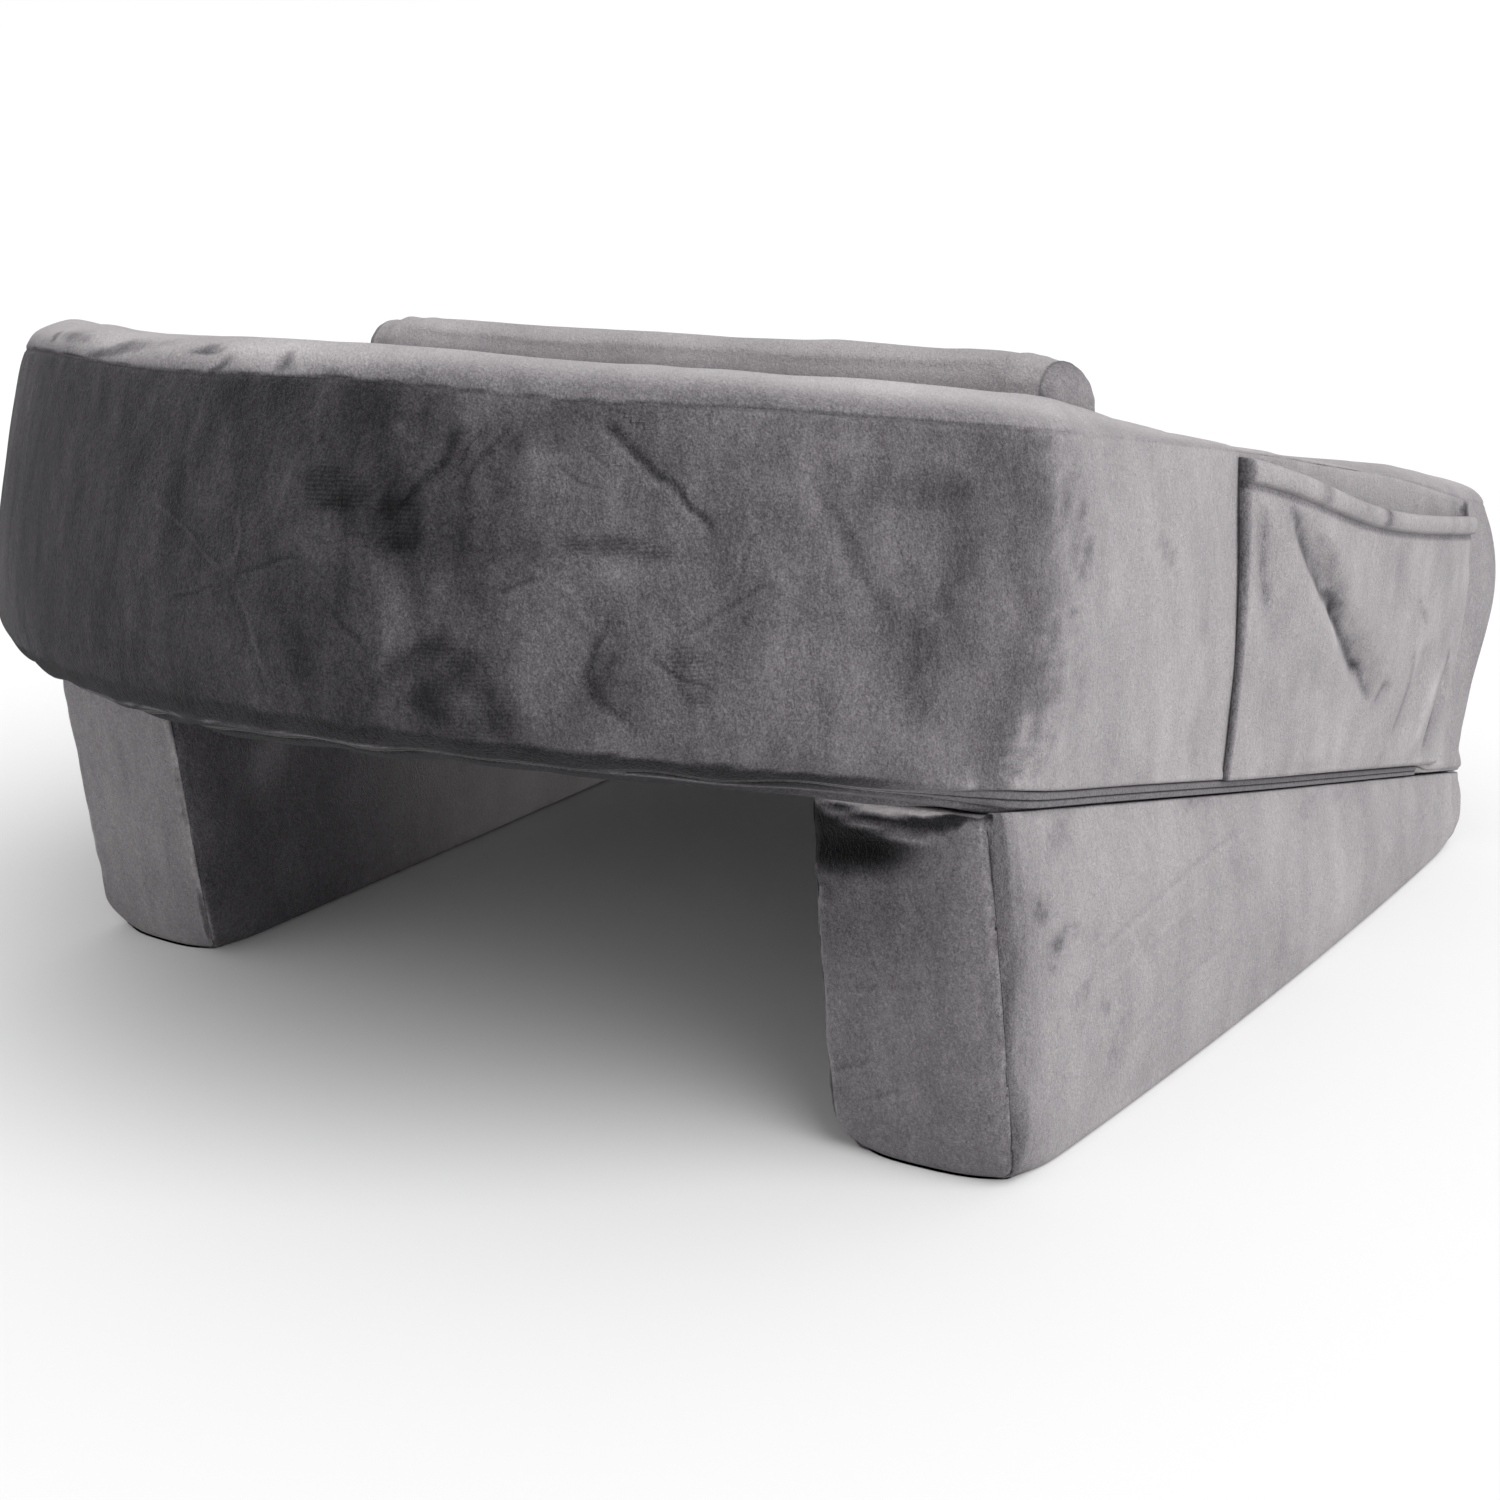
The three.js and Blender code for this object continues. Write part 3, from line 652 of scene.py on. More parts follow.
def paint_pad(pad):
    """The pile's lie, brushed in patches, with painted shade along the front and painted light on the right
    side and the top.
    """
    points = points_of(pad)
    x, y = points[:, :2].T
    nx, ny, nz = read(pad, "normal").T
    rise = rise_of(points)
    over = rise - PAD.thickness
    upright = points * [1, 1, 0.2]
    streaks = 4.5 * ripple(upright, 7, 30) + 3 * ripple(upright, 3.5, 31)
    wander = 4 * ripple(points, 22, 32)
    flecks = ripple(points * [1, 1, 0.5], 4, 58) + ripple(points * [1, 1, 1.4], 3, 59)
    rough = 1 + 0.35 * ripple(points, 6, 35)

    # The side band: painted shade along its front, darkest towards its left, and painted light on its right
    # side, partly the brushed lie of the pile. The two meet along a wavy edge.
    edge_y = np.interp(rise, (0, 80, 117), (8, 39, 38.5))
    to_side = smooth(-15, 13, y - edge_y + 1.5 * streaks + 0.6 * wander + 3.0 * flecks)
    front = smooth(-0.25, 0.7, -ny + 0.25 * np.minimum(nx, 0))
    front = lerp(front, 1 - to_side, smooth(0.3, 0.75, nx))
    right = smooth(0.3, 0.8, nx) * to_side
    left_painted_shade = 1 - smooth(66, 146, x + 1.2 * streaks + 1.5 * wander)
    band = lerp(TONE.hidden, TONE.front, front) + (TONE.front_left - TONE.front) * left_painted_shade * front
    # A painted sheen: the far left end of the front a little lighter again.
    band += (TONE.front_far_left - TONE.front_left) * (1 - smooth(-112, -92, x)) * front
    band += 0.03 * smooth(165, 210, x) * front
    band = lerp(band, lerp(TONE.side, TONE.side_back, smooth(50, 110, y)), right)
    # Painted shade where the right side turns away at its back.
    band -= 0.06 * smooth(336, 352, y) * (nx > 0.1)

    # The top, painted light, and the strip of it that shows over the front seam, painted darker by the seam,
    # with a painted highlight along its rim.
    crest = smooth(-0.4, 0.6, over) * smooth(-0.35, 0.1, nz)
    on_front = 1 - smooth(-10, 45, y)
    to_crest = over / shoulder_height(Sizes(x=x, y=y))
    sharp = smooth(50, 110, x)
    rim = smooth(lerp(-0.1, 0.2, sharp), lerp(0.7, 1.0, sharp), to_crest)
    top = lerp(lerp(TONE.top, TONE.strip, on_front), TONE.rim, rim) + 0.02 * ripple(points, 30, 34)
    tone = lerp(band, top, crest)

    # Brushed patches and flecks, painted shade in the pressed creases, and painted shade and highlights along
    # the fine creases.
    at = np.stack([x, rise], axis=1)
    bent = at + 0.5 * np.stack([streaks, wander], axis=1)
    shows_front = front * (1 - crest)
    tone += marked(bent, FRONT_MARKS, 0.25) * shows_front * rough
    # Painted shade in the pressed creases.
    tone -= 0.02 * folded(bent, FRONT_CREASES, narrower=0.9) * shows_front
    grain = 0.02 * ripple(points, 26, 36) + 0.022 * ripple(upright, 8, 37) + 0.014 * ripple(upright, 3.5, 40)
    tone += shows_front * grain
    tone += right * (0.014 * ripple(points, 30, 38) + 0.012 * ripple(upright, 8, 39))
    over_seam = np.stack([x + 0.4 * streaks, over], axis=1)
    on_strip = crest * smooth(0, 20, -y) * smooth(0.02, -0.22, ny)
    tone += marked(over_seam, STRIP_MARKS) * on_strip * rough
    side_at = points[:, 1:] + 1.6 * stray(points, 9, 49)
    tone += marked(side_at, SIDE_MARKS) * right * (1 - crest) * rough
    ribs = [amount * mark(bent, (px, pz), half, turn, 0.2) for px, pz, *half, turn, amount in FRONT_RIBS]
    ribs = np.max(ribs, axis=0) * shows_front
    lines = [(over, 0.7, lerp(-0.01, -0.05, on_front))]
    lines += drawn(at + 0.7 * stray(points, 6, 55), FRONT_LINES, shows_front * smooth(3, 8, rise))

    # The zip's channel, painted shade, and the underside, painted shade at the front, with a painted
    # highlight along the lip of the lower seam.
    at_front = 1 - smooth(-60, 0, y)
    channel_shade = smooth(-0.6, 0.2, rise) * (1 - smooth(6.6, 7.6, rise)) * smooth(-20, -45, y)
    tone = lerp(tone, TONE.channel, channel_shade)
    tone = lerp(tone, lerp(TONE.under, TONE.under_front, at_front), smooth(0.2, -0.6, rise))
    # A painted highlight along the lip of the lower seam at the front.
    tone += 0.28 * bell(rise + 0.3, 0.5) * at_front * smooth(0.2, -0.2, nz)
    set_pile(pad, tone, ribs, lines)


def make_pad():
    rows, sewn = pad_rows()
    full = PAD.thickness + PAD.top_level
    bottom = pad_cap(rows[0], lambda y: np.full_like(y, -PAD.underside), PAD.underside_slope)
    top = pad_cap(rows[-1], lambda y: full - PAD.back_droop * smooth(230, 400, y), PAD.top_slope)
    pad, ring_of = capped_mesh("pad_cushion", rows, bottom, top)
    x, y = points_of(pad)[:, :2].T
    under_pocket = (x > PAD.half_width - 7) & (y > POCKET.front_top_y - 7) & (y < POCKET.back_top_y + 9)
    fixed = np.isin(ring_of, sorted(sewn)) | (ring_of == -1) | under_pocket
    puff(pad, fixed, cap=1.3, spare=0.004)
    subdivide(pad)
    finish_pad(pad)
    paint_pad(pad)
    return pad


# The wedge legs


LEG_CORNERS = np.cumsum([0, LEG.columns_across, LEG.columns_deep, LEG.columns_across])


def leg_plan():
    """Plan of the right leg: a rounded rectangle from its front left corner by the front, right and back."""
    g = LEG
    r = g.corner_radius
    corners = [(g.inner_x + r, r, 180), (g.outer_x - r, r, 270), (g.outer_x - r, g.depth - r, 0),
               (g.inner_x + r, g.depth - r, 90)]
    arcs = []
    for x, y, start in corners:
        angle = np.radians(np.linspace(start, start + 90, 17))
        arcs.append(np.stack([x + r * np.cos(angle), y + r * np.sin(angle)], axis=1))
    sections = []
    for i, count in enumerate([g.columns_across, g.columns_deep, g.columns_across, g.columns_deep]):
        line = np.concatenate([arcs[i][8:], arcs[(i + 1) % 4][:9]])
        sections.append(resample(line, count, g.crowding))
    return with_normals(np.concatenate(sections))


def leg_top(y):
    """The height of a leg's top, just under the pad."""
    return PAD.seam_height - PAD.underside_slope * y - PAD.underside - GAP


def leg_ring(plan, side, inset, height_of):
    """A ring of a leg: its plan drawn in, leaning up to its height, and rounded at the foot's corners."""
    g = LEG
    width = g.outer_x - g.inner_x
    along = plan.y / g.depth
    to_inner_front = (1 - along) * (g.outer_x - plan.x) / width
    turn = (g.front_turn_right if side > 0 else 0) * to_inner_front
    to_corner = np.hypot(width / 2 - np.abs(plan.x - g.inner_x - width / 2),
                         g.depth / 2 - np.abs(plan.y - g.depth / 2))
    y = plan.y
    for _ in range(4):
        z = height_of(leg_top(y))
        under = np.clip(g.foot_radius - z, 0, g.foot_radius - 2)
        rounding = g.foot_radius - np.sqrt(g.foot_radius ** 2 - under ** 2)
        drawn_in = inset + rounding * bell(to_corner, 13) * lerp(1, 0.4, smooth(0.6, 0.95, along))
        y = plan.y - plan.ny * drawn_in - turn - g.front_lean * (1 - along) * z / PAD.seam_height
    belly = g.side_bulge * 4 * along * (1 - along) * np.maximum(0, plan.nx)
    belly = belly * (1 - 0.75 * smooth(-45, -3, z - leg_top(y)))
    lean = g.side_lean * (z / PAD.seam_height) * (plan.x / g.outer_x)
    inner = (g.inner_lean_right if side > 0 else 0) * (z / PAD.seam_height) ** 1.3 * to_inner_front
    x = plan.x - plan.nx * drawn_in + belly - lean + inner
    return np.stack([side * x, y, z], axis=1)


def mirrored_order(ring):
    """A left-hand ring read from its own front left corner by the front, right and back."""
    return np.roll(ring[::-1], LEG.columns_across + 1, axis=0)


def make_leg(name, side):
    """A leg, with side -1 for the left and 1 for the right: a wedge with a collar up to the zip outside."""
    g = LEG
    plan = leg_plan()
    sink = side_sink(200, plan.y, 0) if side > 0 else 0
    tight = smooth(0.35, 0.9, plan.nx)
    collar = (g.collar - sink) * tight

    def ring(inset, height_of):
        return leg_ring(plan, side, inset, height_of)

    def level(height):
        return lambda top: np.full_like(top, height)

    rows = [ring(6, level(0)), ring(3.4, level(0)), ring(1.8, level(0.7)), ring(0.8, level(2.2)),
            ring(0.2, level(5)), ring(-0.1, level(9))]
    for part in np.linspace(0.04, 0.96, 26):
        bulge = g.swell * math.sin(math.pi * part) ** 0.5
        rows.append(ring(-bulge, lambda top, part=part: lerp(9, top - 4 + collar, part)))
    rows += [
        ring(0.1 - 0.1 * tight, lambda top: top - 3 + collar),
        ring(0.5 - 0.4 * tight, lambda top: top - 1.5 + collar),
        ring(1.1 - 0.5 * tight, lambda top: top - 0.5 + 0.9 * collar),
        ring(2.2 - 0.2 * tight, lambda top: top + 0.4 * collar),
        ring(4, lambda top: top),
    ]
    if side < 0:
        rows = [mirrored_order(row) for row in rows]
    bottom = coons(rows[0], g.columns_across, g.columns_deep)
    top = coons(rows[-1], g.columns_across, g.columns_deep)
    leg, ring_of = capped_mesh(name, rows, bottom, top)
    column = np.arange(len(ring_of)) % len(plan.x)
    at_corner = (ring_of >= 0) & np.isin(column, LEG_CORNERS)
    fixed = at_corner | (ring_of < 4) | (ring_of >= len(rows) - 5)
    puff(leg, fixed, cap=1.5, spare=0.003)
    subdivide(leg)
    finish_leg(leg, side)
    paint_leg(leg, side)
    return leg


# Folds of the right leg's front under the pad: line in x and z, half width, height.
LEG_FOLDS = [
    ([(163, 124.5), (175, 122), (189, 119.5), (206, 119)], 2.4, 1.2),
    ([(176, 124.5), (190, 123.5), (204, 123.5), (214, 126.5)], 2.0, -1.2),
    ([(158, 114), (172, 114), (186, 114.5), (200, 115.5)], 4.5, -1.4),
    ([(158, 103), (168, 102), (176, 100.5)], 2.4, 0.9), ([(158, 96), (168, 95.5), (176, 94)], 4, -0.6),
]
# How those folds are shaded: x, and the heights there of the shelf's edge, the first fold's foot, the sheen
# below it and the second fold's foot.
LEG_SHADES = np.array([
    (157, 129.0, 128.8, 128.6, 103.8), (165, 128.2, 128.0, 126.6, 104.3),
    (174, 126.9, 125.6, 123.6, 106.4), (182, 125.7, 122.9, 121.6, 107.5),
    (190, 125.5, 121.6, 120.3, 109.0), (202, 126.3, 121.2, 119.0, 112.5),
    (213, 129.0, 124.2, 121.0, 120.0), (217, 132.1, 127.8, 126.0, 126.0),
])
# Finer painted highlights and shade below them: line in x and z, half width, tone added.
LEG_STROKES = [
    ([(155, 104), (163, 103.3), (167, 102.5), (173, 101.4)], 1.2, 0.10),
    ([(155, 98), (163, 97.4), (171, 96.8)], 2.6, -0.08),
    ([(155, 92), (163, 91), (170, 89.7)], 1.1, 0.05),
]
# Creases of the right leg's front, painted as shade along them and one as a highlight: line in x and z, half
# width, tone added.
LEG_LINES = [
    ([(168, 62), (182, 66), (196, 68), (208, 74)], 1.2, -0.03),
    ([(161, 30), (168, 34), (174, 36), (180, 41)], 0.9, -0.06),
    ([(170, 22), (178, 25), (190, 31)], 0.9, -0.04), ([(163, 60), (170, 54), (176, 46)], 1.0, 0.03),
]
# Fine creases of the right leg's outer side, painted as shade and a highlight along them: line in y and z,
# half width, tone added.
LEG_SIDE_LINES = [
    ([(42, 66), (70, 70), (110, 74), (160, 76)], 1.4, -0.03),
    ([(52, 52), (90, 60), (130, 62)], 1.2, 0.02), ([(60, 24), (96, 36), (150, 40)], 1.4, -0.02),
]


def leg_seams(side):
    """The four sewn corners of a leg, as close points from foot to top."""
    plan = leg_plan()
    lines = []
    for height in np.linspace(0, 1, 160):
        ring = leg_ring(plan, side, 0, lambda top: height * (top + LEG.collar * 0.5))
        lines.append(ring[LEG_CORNERS])
    return np.concatenate(lines)


def past_seam(points, seams):
    """The distance from the nearest of a leg's seams: over 0 on its sides, under 0 on its front and back."""
    tree = tree_of(seams)
    nearest, _, distance = zip(*(tree.find(point) for point in points))
    offset = points - np.array(nearest)
    middle_x = np.sign(points[:, 0]) * (LEG.inner_x + LEG.outer_x) / 2
    along = offset[:, 1] * np.sign(LEG.depth / 2 - points[:, 1])
    across = offset[:, 0] * np.sign(points[:, 0] - middle_x)
    return np.array(distance) * np.sign(along + across)


def leg_fold_tone(x, z):
    """The shade and the sheen of the folds at the top of the right leg's front."""
    edge, first, sheen, second = (np.interp(x, LEG_SHADES[:, 0], LEG_SHADES[:, k]) for k in (1, 2, 3, 4))
    at = np.stack([x, z], axis=1)
    shelf = smooth(-0.5, 0.7, z - edge)
    in_second = smooth(-7, 5, z - second) * smooth(0.3, 3.2, sheen - z)
    below_sheen = 1 - smooth(-4, 2, z - sheen)
    tone = -0.31 * smooth(-1.3, 1.0, z - first) * (1 - shelf)
    tone -= 0.45 * in_second * (1 - smooth(184, 212, x))
    tone += 0.11 * bell(z - sheen + 0.3, 1.3) * bell(x - 187, 18)
    tone -= 0.13 * mark(at, (156, 98), (46, 32), 0, 0.7) * (1 - in_second) * below_sheen
    return tone + folded(at, LEG_STROKES, 0.1, 0.3), shelf


def finish_leg(leg, side):
    """The sewn corners with their puckers, the folds under the pad and the unevenness of the filling."""
    points = points_of(leg)
    y, z = points[:, 1:].T
    ny, nz = read(leg, "normal")[:, 1:].T
    wobble = np.zeros_like(points)
    wobble[:, 1] = 0.45 * np.sin(z / 9.0) + 0.25 * np.sin(z / 4.1 + 1)
    seam = distance_to(points + wobble, leg_seams(side))
    moved = -0.6 * bell(seam, 1.0) + 0.3 * bell(seam - 2.6, 1.5)
    moved += 0.22 * ripple(points * [0.3, 0.3, 1], 5, 11) * bell(seam - 4, 4)
    moved *= smooth(0.2, 1.5, z)
    moved += smooth(1.5, 6, z) * (0.4 * ripple(points, 40, 12) + 0.16 * ripple(points, 15, 13))
    moved *= np.where(nz > 0.7, 0, 1)
    if side > 0:
        below_pad = 1 - smooth(-2, 0.5, z - leg_top(y))
        in_front = smooth(0.4, 0.8, -ny)
        moved += folded(points[:, [0, 2]], LEG_FOLDS, 0.2, 0.35) * in_front * below_pad
    push(leg, moved)


def paint_leg(leg, side):
    """The pile on a leg: painted light on the right side, plain in front, painted shade and sheen in the
    folds under the pad, and painted shade on the left leg's inside.
    """
    points = points_of(leg)
    x, y, z = points.T
    nx, ny = read(leg, "normal")[:, :2].T
    upright = points * [1, 1, 0.25]
    front = smooth(0.3, 0.8, -ny)
    outer = smooth(0.4, 0.8, nx)
    tone = TONE.leg + 0.02 * ripple(points, 30, 43) + 0.014 * ripple(upright, 7, 44)
    plain_front = TONE.leg_front_right if side > 0 else TONE.leg_front_left
    tone = lerp(tone, plain_front + 0.012 * ripple(upright, 6, 48), front)
    seam = past_seam(points, leg_seams(side))
    lines = [(seam - 0.2, 0.5, -0.2 * smooth(0.5, 4, z) * smooth(-1, -5, z - leg_top(y)))]
    on_side = points[:, 1:]
    if side > 0:
        streaks = 3.5 * ripple(upright, 7, 41) + 2.5 * ripple(upright, 3.5, 42)
        # Painted light on the outer side, with painted shade in a band behind the front corner.
        to_side = smooth(-5, 5, y - 1.5 - 0.02 * z + 0.8 * streaks)
        light = TONE.leg_side - 0.09 * (1 - smooth(4, 30, y))
        light = light + 0.014 * ripple(points, 26, 44) + 0.012 * ripple(upright, 9, 45)
        tone = lerp(tone, lerp(TONE.leg_corner, light, to_side), outer)
        patchy = (1 + 0.4 * ripple(points, 7, 47)) * (0.75 + 0.5 * ripple(points, 2.5, 61))
        tone += 0.8 * marked(on_side + 1.6 * stray(points, 9, 49), SIDE_MARKS, 0.5) * outer * patchy
        lines += drawn(on_side, LEG_SIDE_LINES, outer)
        # Painted shade and sheen in the folds under the pad, and a painted highlight on the shelf of its top
        # edge.
        folds, shelf = leg_fold_tone(x, z)
        before = y < 6
        tone += folds * smooth(0.1, 0.5, -ny) * before
        tone = lerp(tone, TONE.leg_shelf, shelf * before)
        lines += drawn(points[:, [0, 2]], LEG_LINES, front)
    else:
        # Painted shade on the left leg's inside, lighter towards its back and along a painted sheen streak.
        lit = smooth(20, 230, y) + 0.25 * fold(on_side, [(20, 60), (60, 96), (120, 100)], 12)
        inside = lerp(TONE.leg_inside, TONE.leg_inside_lit, lit) + 0.015 * ripple(points, 30, 46)
        tone = lerp(tone, inside, outer)
    fuzz = 1 + 0.6 * ripple(points, 1.6, 57)
    tone += 0.08 * bell(seam + 1.6, 1.1) * front * fuzz
    set_pile(leg, tone, lines=lines)


# The head roll


def on_pad_top(x, y, level):
    """Points that far above the slope of the upper seam."""
    return np.stack([x, y, PAD.seam_height + PAD.thickness - PAD.top_slope * y + level], axis=-1)


def above_pad(points):
    """How far points are above that slope."""
    return points[:, 2] - on_pad_top(points[:, 0], points[:, 1], 0)[:, 2]


ROLL_SEAT = 3.8
# The end caps: how far out, and the size of the section there.
ROLL_CAPS = [(0, 0.845), (0.9, 0.84), (2.4, 0.80), (3.9, 0.71), (5.1, 0.57), (5.9, 0.39), (6.3, 0.2)]


def make_roll():
    """The head roll: an oval section, flattened where it lies, with sewn end caps drawn in by gathers."""
    g = ROLL
    middle = g.top_above_seam - g.half_height
    turn = np.radians(np.linspace(0, 360, g.columns, endpoint=False))

    def section(x, size):
        level = np.maximum(ROLL_SEAT, middle + g.half_height * size * np.cos(turn))
        return on_pad_top(np.full_like(turn, x), g.centre_y + g.half_depth * size * np.sin(turn), level)

    def tip(x):
        return on_pad_top(np.array([x]), np.array([float(g.centre_y)]), np.array([float(middle)]))

    body = []
    for part in np.linspace(-1, 1, g.stations):
        along = math.sin(part * math.pi / 2) * 0.5 + part * 0.5
        body.append(section(along * (g.seam_x - 0.9), 1 - 0.155 * smooth(0.9, 1.01, abs(along)) ** 1.7))
    right = [section(g.seam_x + out, size) for out, size in ROLL_CAPS]
    left = [section(-g.seam_x - out, size) for out, size in ROLL_CAPS][::-1]
    rings = left + body + right
    count = g.columns
    points = np.concatenate([*rings, tip(-g.seam_x - g.cap_bulge), tip(g.seam_x + g.cap_bulge)])
    faces = wall_faces(len(rings), count)
    first, last = len(points) - 2, len(points) - 1
    end = (len(rings) - 1) * count
    for i in range(count):
        j = (i + 1) % count
        faces.append((first, j, i))
        faces.append((last, end + i, end + j))
    roll = new_object("roll_cushion", points, faces)
    ring_of = np.append(np.repeat(np.arange(len(rings)), count), [-1, -1])
    seams = (len(left) - 1, len(left), len(rings) - len(right) - 1, len(rings) - len(right))
    puff(roll, np.isin(ring_of, seams) | (above_pad(points) < ROLL_SEAT + 0.5), cap=0.9, spare=0.006)
    subdivide(roll)
    finish_roll(roll)
    return roll


def finish_roll(roll):
    """The gathers at the end seams, the unevenness of the filling, and the lie of the pile, with painted
    shade low down and a painted highlight and shade on the caps.
    """
    g = ROLL
    points = points_of(roll)
    level = above_pad(points)
    off_pad = smooth(ROLL_SEAT + 0.3, ROLL_SEAT + 5, level)
    seam = np.abs(np.abs(points[:, 0]) - g.seam_x)
    angle = np.arctan2(points[:, 1] - g.centre_y, level - g.top_above_seam + g.half_height)
    gather = np.sin(angle * 17 + 0.8 * np.sin(3 * angle)) * bell(seam - 3.5, 4)
    moved = -0.4 * bell(seam, 1.1) + 0.09 * gather
    moved += 0.55 * ripple(points, 50, 21) + 0.2 * ripple(points, 16, 22)
    push(roll, moved * off_pad)
    points = points_of(roll)
    past = np.abs(points[:, 0]) - g.seam_x
    caps = smooth(-1.5, 0.5, past + 0.8 * ripple(points, 7, 23))
    # Painted shade low down, near the pad.
    tone = TONE.roll - 0.12 * (1 - smooth(6, 27, level))
    tone += 0.016 * ripple(points, 30, 24) + 0.012 * ripple(points * [0.4, 1, 1], 10, 25)
    # On the caps: a painted highlight on their outer face and painted shade low down.
    cap_light_and_shade = 0.09 * bell(past - 5.5, 2.5) - 0.10 * (1 - smooth(4, 20, level))
    tone = lerp(tone, TONE.roll_cap + 0.05 * ripple(points, 12, 26) + cap_light_and_shade, caps)
    set_pile(roll, tone, lines=[(past, 0.7, -0.07 * off_pad)])


# The side pocket


# Folds of the pocket: line in the pocket's own width and height (0 to 1), half width, height in mm.
POCKET_FOLDS = [
    ([(0.11, 0.9), (0.2, 0.74), (0.34, 0.56), (0.46, 0.4), (0.58, 0.27)], 0.035, -3.6),
    ([(0.05, 0.9), (0.13, 0.72), (0.27, 0.53), (0.38, 0.38)], 0.05, 1.7),
    ([(0.22, 0.9), (0.31, 0.74), (0.44, 0.56), (0.56, 0.42), (0.66, 0.3)], 0.055, 2.0),
    ([(0.03, 0.88), (0.06, 0.6), (0.12, 0.36)], 0.03, -1.2),
    ([(0.62, 0.34), (0.6, 0.26), (0.56, 0.21)], 0.03, -1.6),
    ([(0.8, 0.5), (0.77, 0.32), (0.73, 0.12), (0.72, 0.02)], 0.035, -1.7),
    ([(0.87, 0.46), (0.85, 0.25), (0.82, 0.03)], 0.04, 1.6),
    ([(0.93, 0.4), (0.915, 0.2), (0.905, 0.0)], 0.022, -2.4),
    ([(0.97, 0.85), (0.965, 0.5), (0.955, 0.1)], 0.03, 1.3),
    ([(0.5, 0.86), (0.6, 0.72), (0.66, 0.6)], 0.045, -1.0),
    ([(0.3, 0.3), (0.33, 0.15), (0.34, 0.0)], 0.05, 0.9),
]
# Their sheen and shade: line in the pocket's width (0 to 1) and height (0 to 0.62), half width in mm, tone.
POCKET_SHADES = [
    ([(0.1, 0.56), (0.17, 0.48), (0.26, 0.40), (0.36, 0.33)], 3.6, -0.2),
    ([(0.26, 0.42), (0.36, 0.33), (0.47, 0.24), (0.56, 0.17)], 2.6, -0.24),
    ([(0.22, 0.42), (0.30, 0.33), (0.36, 0.28)], 2.4, 0.06),
    ([(0.2, 0.52), (0.27, 0.46), (0.33, 0.40)], 3.0, -0.07),
    ([(0.03, 0.55), (0.05, 0.42), (0.08, 0.32)], 2.4, -0.10),
    ([(0.71, 0.3), (0.74, 0.2), (0.72, 0.06)], 3.0, -0.08),
    ([(0.62, 0.2), (0.6, 0.15)], 2.0, -0.1),
    ([(0.86, 0.28), (0.84, 0.15), (0.82, 0.03)], 2.6, 0.05),
    ([(0.915, 0.3), (0.9, 0.16), (0.895, 0.01)], 2.8, -0.12),
    ([(0.68, 0.42), (0.72, 0.37), (0.75, 0.34)], 2.6, -0.07),
    ([(0.3, 0.2), (0.33, 0.11), (0.34, 0.02)], 3.0, 0.03),
]


